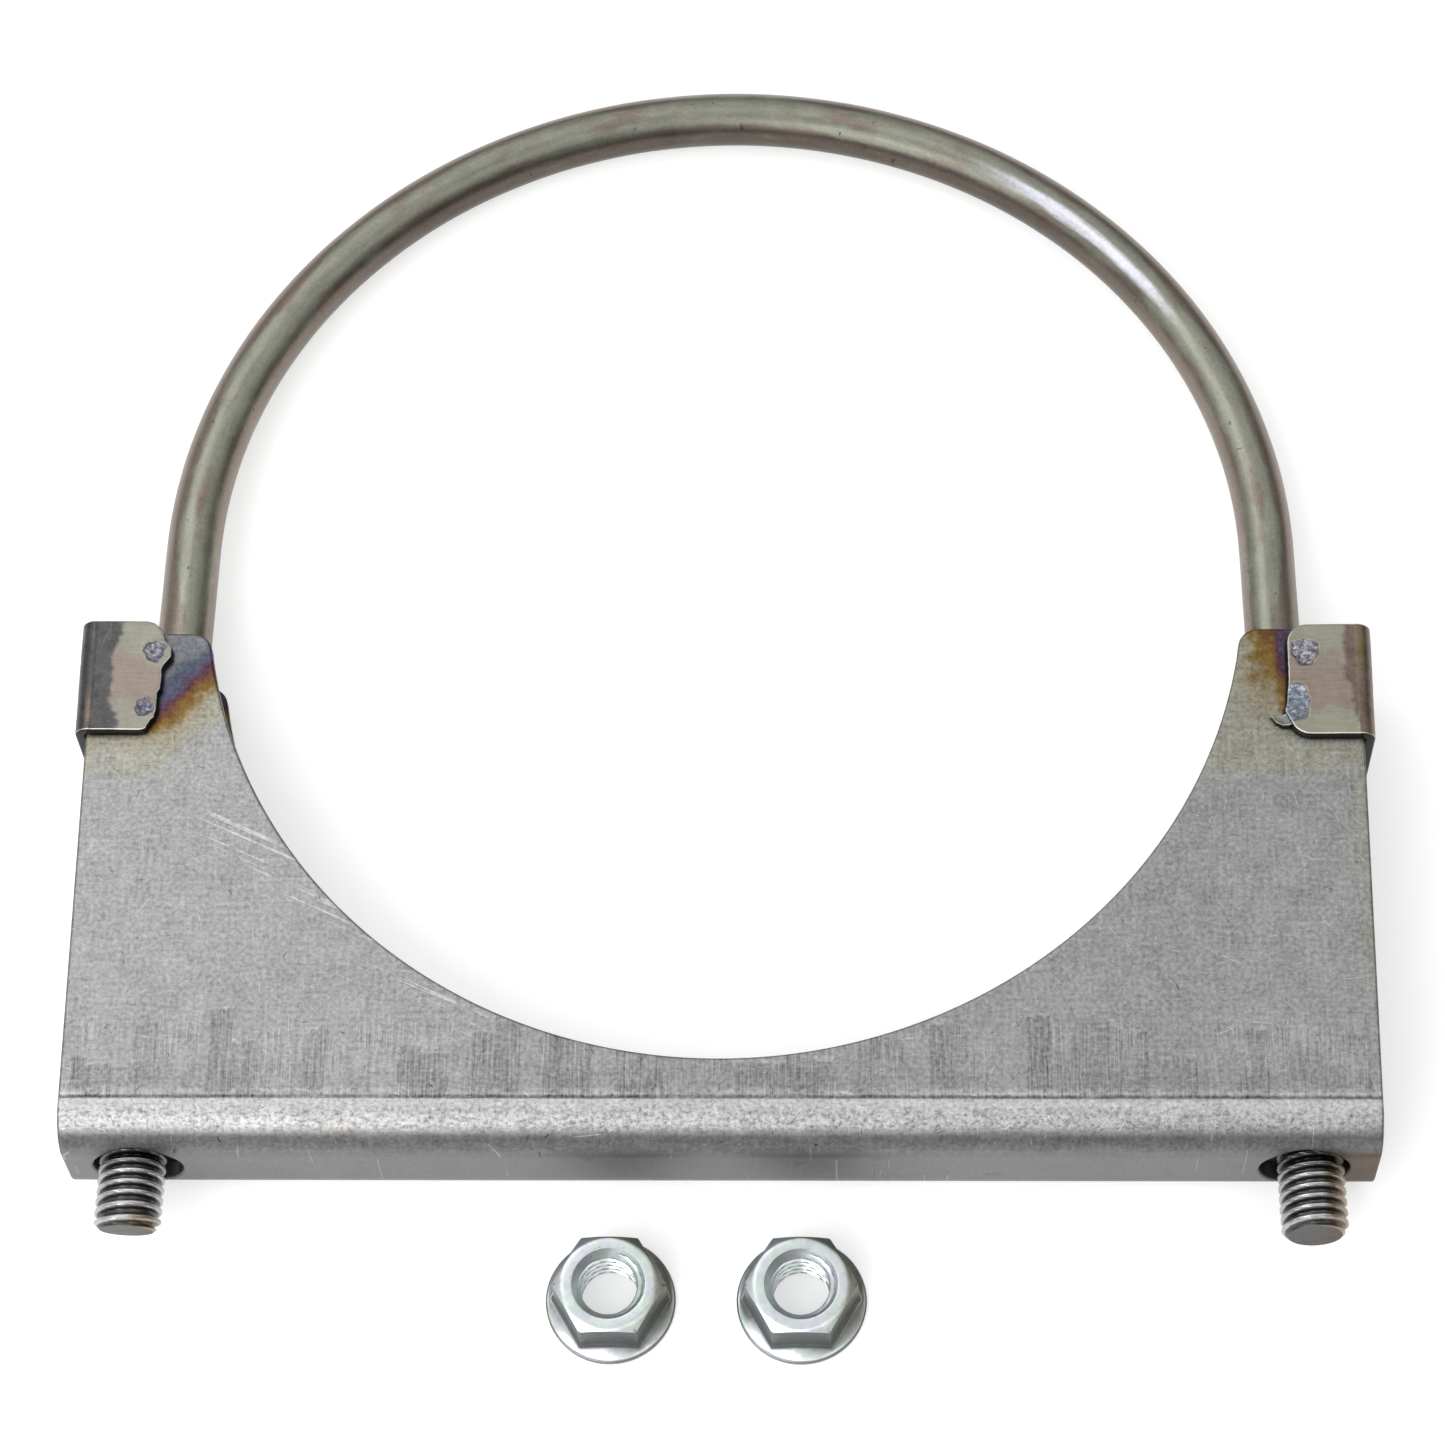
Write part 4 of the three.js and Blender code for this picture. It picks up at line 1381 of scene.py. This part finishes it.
# ---------------------------------------------------------------- surroundings
CAMERA_ELEVATION = math.radians(64.74)
CAMERA_YAW = math.radians(1.73)
CAMERA_ROLL = math.radians(-0.08)
CAMERA_TARGET = np.array((-0.707, 74.754, -10.5))
CAMERA_DISTANCE = 702.55
LENS = 116.31
SENSOR = 36.0
FLOOR_HALF = 3.0  # metres
WORLD_LEAN = (-0.20, -0.05, 1.0)  # the direction of the dome's brightest side
WORLD_RANGE = (0.10, 0.65, 0.17, 1.0)  # from these two heights to these two strengths


def add_camera():
    """The photo's view: from the foot of the bench, steeply down, with a long lens."""
    e = CAMERA_ELEVATION
    level = np.array((
        (1.0, 0.0, 0.0),
        (0.0, -math.sin(e), -math.cos(e)),
        (0.0, math.cos(e), -math.sin(e)),
    ))
    roll = np.array(Matrix.Rotation(CAMERA_ROLL, 3, "Z"))
    yaw = np.array(Matrix.Rotation(CAMERA_YAW, 3, "Y"))
    right, down, forward = roll @ yaw @ level
    place = CAMERA_TARGET - CAMERA_DISTANCE * forward
    camera = bpy.data.cameras.new("camera")
    camera.sensor_width = SENSOR
    camera.lens = LENS
    camera.clip_start = 0.01
    holder = add_object("camera", camera)
    axes = Matrix((right, -down, -forward)).transposed()
    holder.matrix_world = Matrix.Translation(Vector(place) * MM) @ axes.to_4x4()
    bpy.context.scene.camera = holder


def add_softbox(name, place, aim, width, height, power):
    """An area light at a place in mm, facing aim."""
    light = bpy.data.lights.new(name, "AREA")
    light.shape = "RECTANGLE"
    light.size = width * MM
    light.size_y = height * MM
    light.energy = power
    holder = add_object(name, light)
    turn = (Vector(aim) - Vector(place)).to_track_quat("-Z", "Y").to_matrix()
    holder.matrix_world = Matrix.Translation(Vector(place) * MM) @ turn.to_4x4()


def add_world():
    """A pale dome, brightest overhead and dim towards the horizon, most of all on the right."""
    world = bpy.data.worlds.new("studio")
    world.use_nodes = True
    tree = world.node_tree
    where = tree.nodes.new("ShaderNodeTexCoord")
    lean = tree.nodes.new("ShaderNodeVectorMath")
    lean.operation = "DOT_PRODUCT"
    lean.inputs[1].default_value = WORLD_LEAN
    ramp = tree.nodes.new("ShaderNodeMapRange")
    tree.links.new(where.outputs["Generated"], lean.inputs[0])
    tree.links.new(lean.outputs["Value"], ramp.inputs[0])
    for socket, number in zip(ramp.inputs[1:5], WORLD_RANGE):
        socket.default_value = number
    background = tree.nodes["Background"]
    background.inputs["Color"].default_value = (1.0, 1.0, 1.0, 1.0)
    tree.links.new(ramp.outputs[0], background.inputs["Strength"])
    bpy.context.scene.world = world


def add_floor():
    """The pale bench under the lowest point of the CAD."""
    mesh = bpy.data.meshes.new("floor")
    square = ((-1, -1), (1, -1), (1, 1), (-1, 1))
    corners = [(x * FLOOR_HALF, y * FLOOR_HALF, cad_low.z) for x, y in square]
    mesh.from_pydata(corners, [], [(0, 1, 2, 3)])
    floor = add_object("floor", mesh)
    paint = bpy.data.materials.new("pale_bench")
    paint.use_nodes = True
    shader = paint.node_tree.nodes["Principled BSDF"]
    shader.inputs["Base Color"].default_value = (0.68, 0.68, 0.68, 1.0)
    shader.inputs["Roughness"].default_value = 0.9
    shader.inputs["Specular IOR Level"].default_value = 0.1
    shader.inputs["Emission Color"].default_value = (1.0, 1.0, 1.0, 1.0)
    shader.inputs["Emission Strength"].default_value = 0.40
    mesh.materials.append(paint)


# ---------------------------------------------------------------- the scene
def put(piece, material, body, node):
    piece.data.materials.append(material)
    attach(piece, body)
    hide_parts(node)


add_camera()
add_world()
add_floor()
add_softbox("key", (-270, -310, 430), (-20, 40, 0), 520, 520, 3.0)
add_softbox("back", (-240, 300, 480), (0, 70, 0), 330, 380, 0.5)
add_softbox("fill", (300, -120, 620), (60, 70, 0), 400, 400, 0.55)
bpy.context.scene.view_settings.view_transform = "Standard"

zinc = zinc_material()
left_steel = strap_material("left_strap_steel", LEFT_STRAP, LEFT_STRAP_FINISH)
right_steel = strap_material("right_strap_steel", RIGHT_STRAP, RIGHT_STRAP_FINISH)
put(build_saddle(), saddle_material(), "saddle_assembly", "saddle")
put(build_u_bolt(), rod_material(), "u_bolt", "u_bolt")
put(build_strap(LEFT_STRAP), left_steel, "saddle_assembly", "left_guide_strap")
put(build_strap(RIGHT_STRAP), right_steel, "saddle_assembly", "right_guide_strap")
left_nut = build_nut("left_nut_body", "left_flange_nut", wear_seed=2)
put(left_nut, zinc, "left_nut", "left_flange_nut")
right_nut = build_nut("right_nut_body", "right_flange_nut", wear_seed=5)
put(right_nut, zinc, "right_nut", "right_flange_nut")
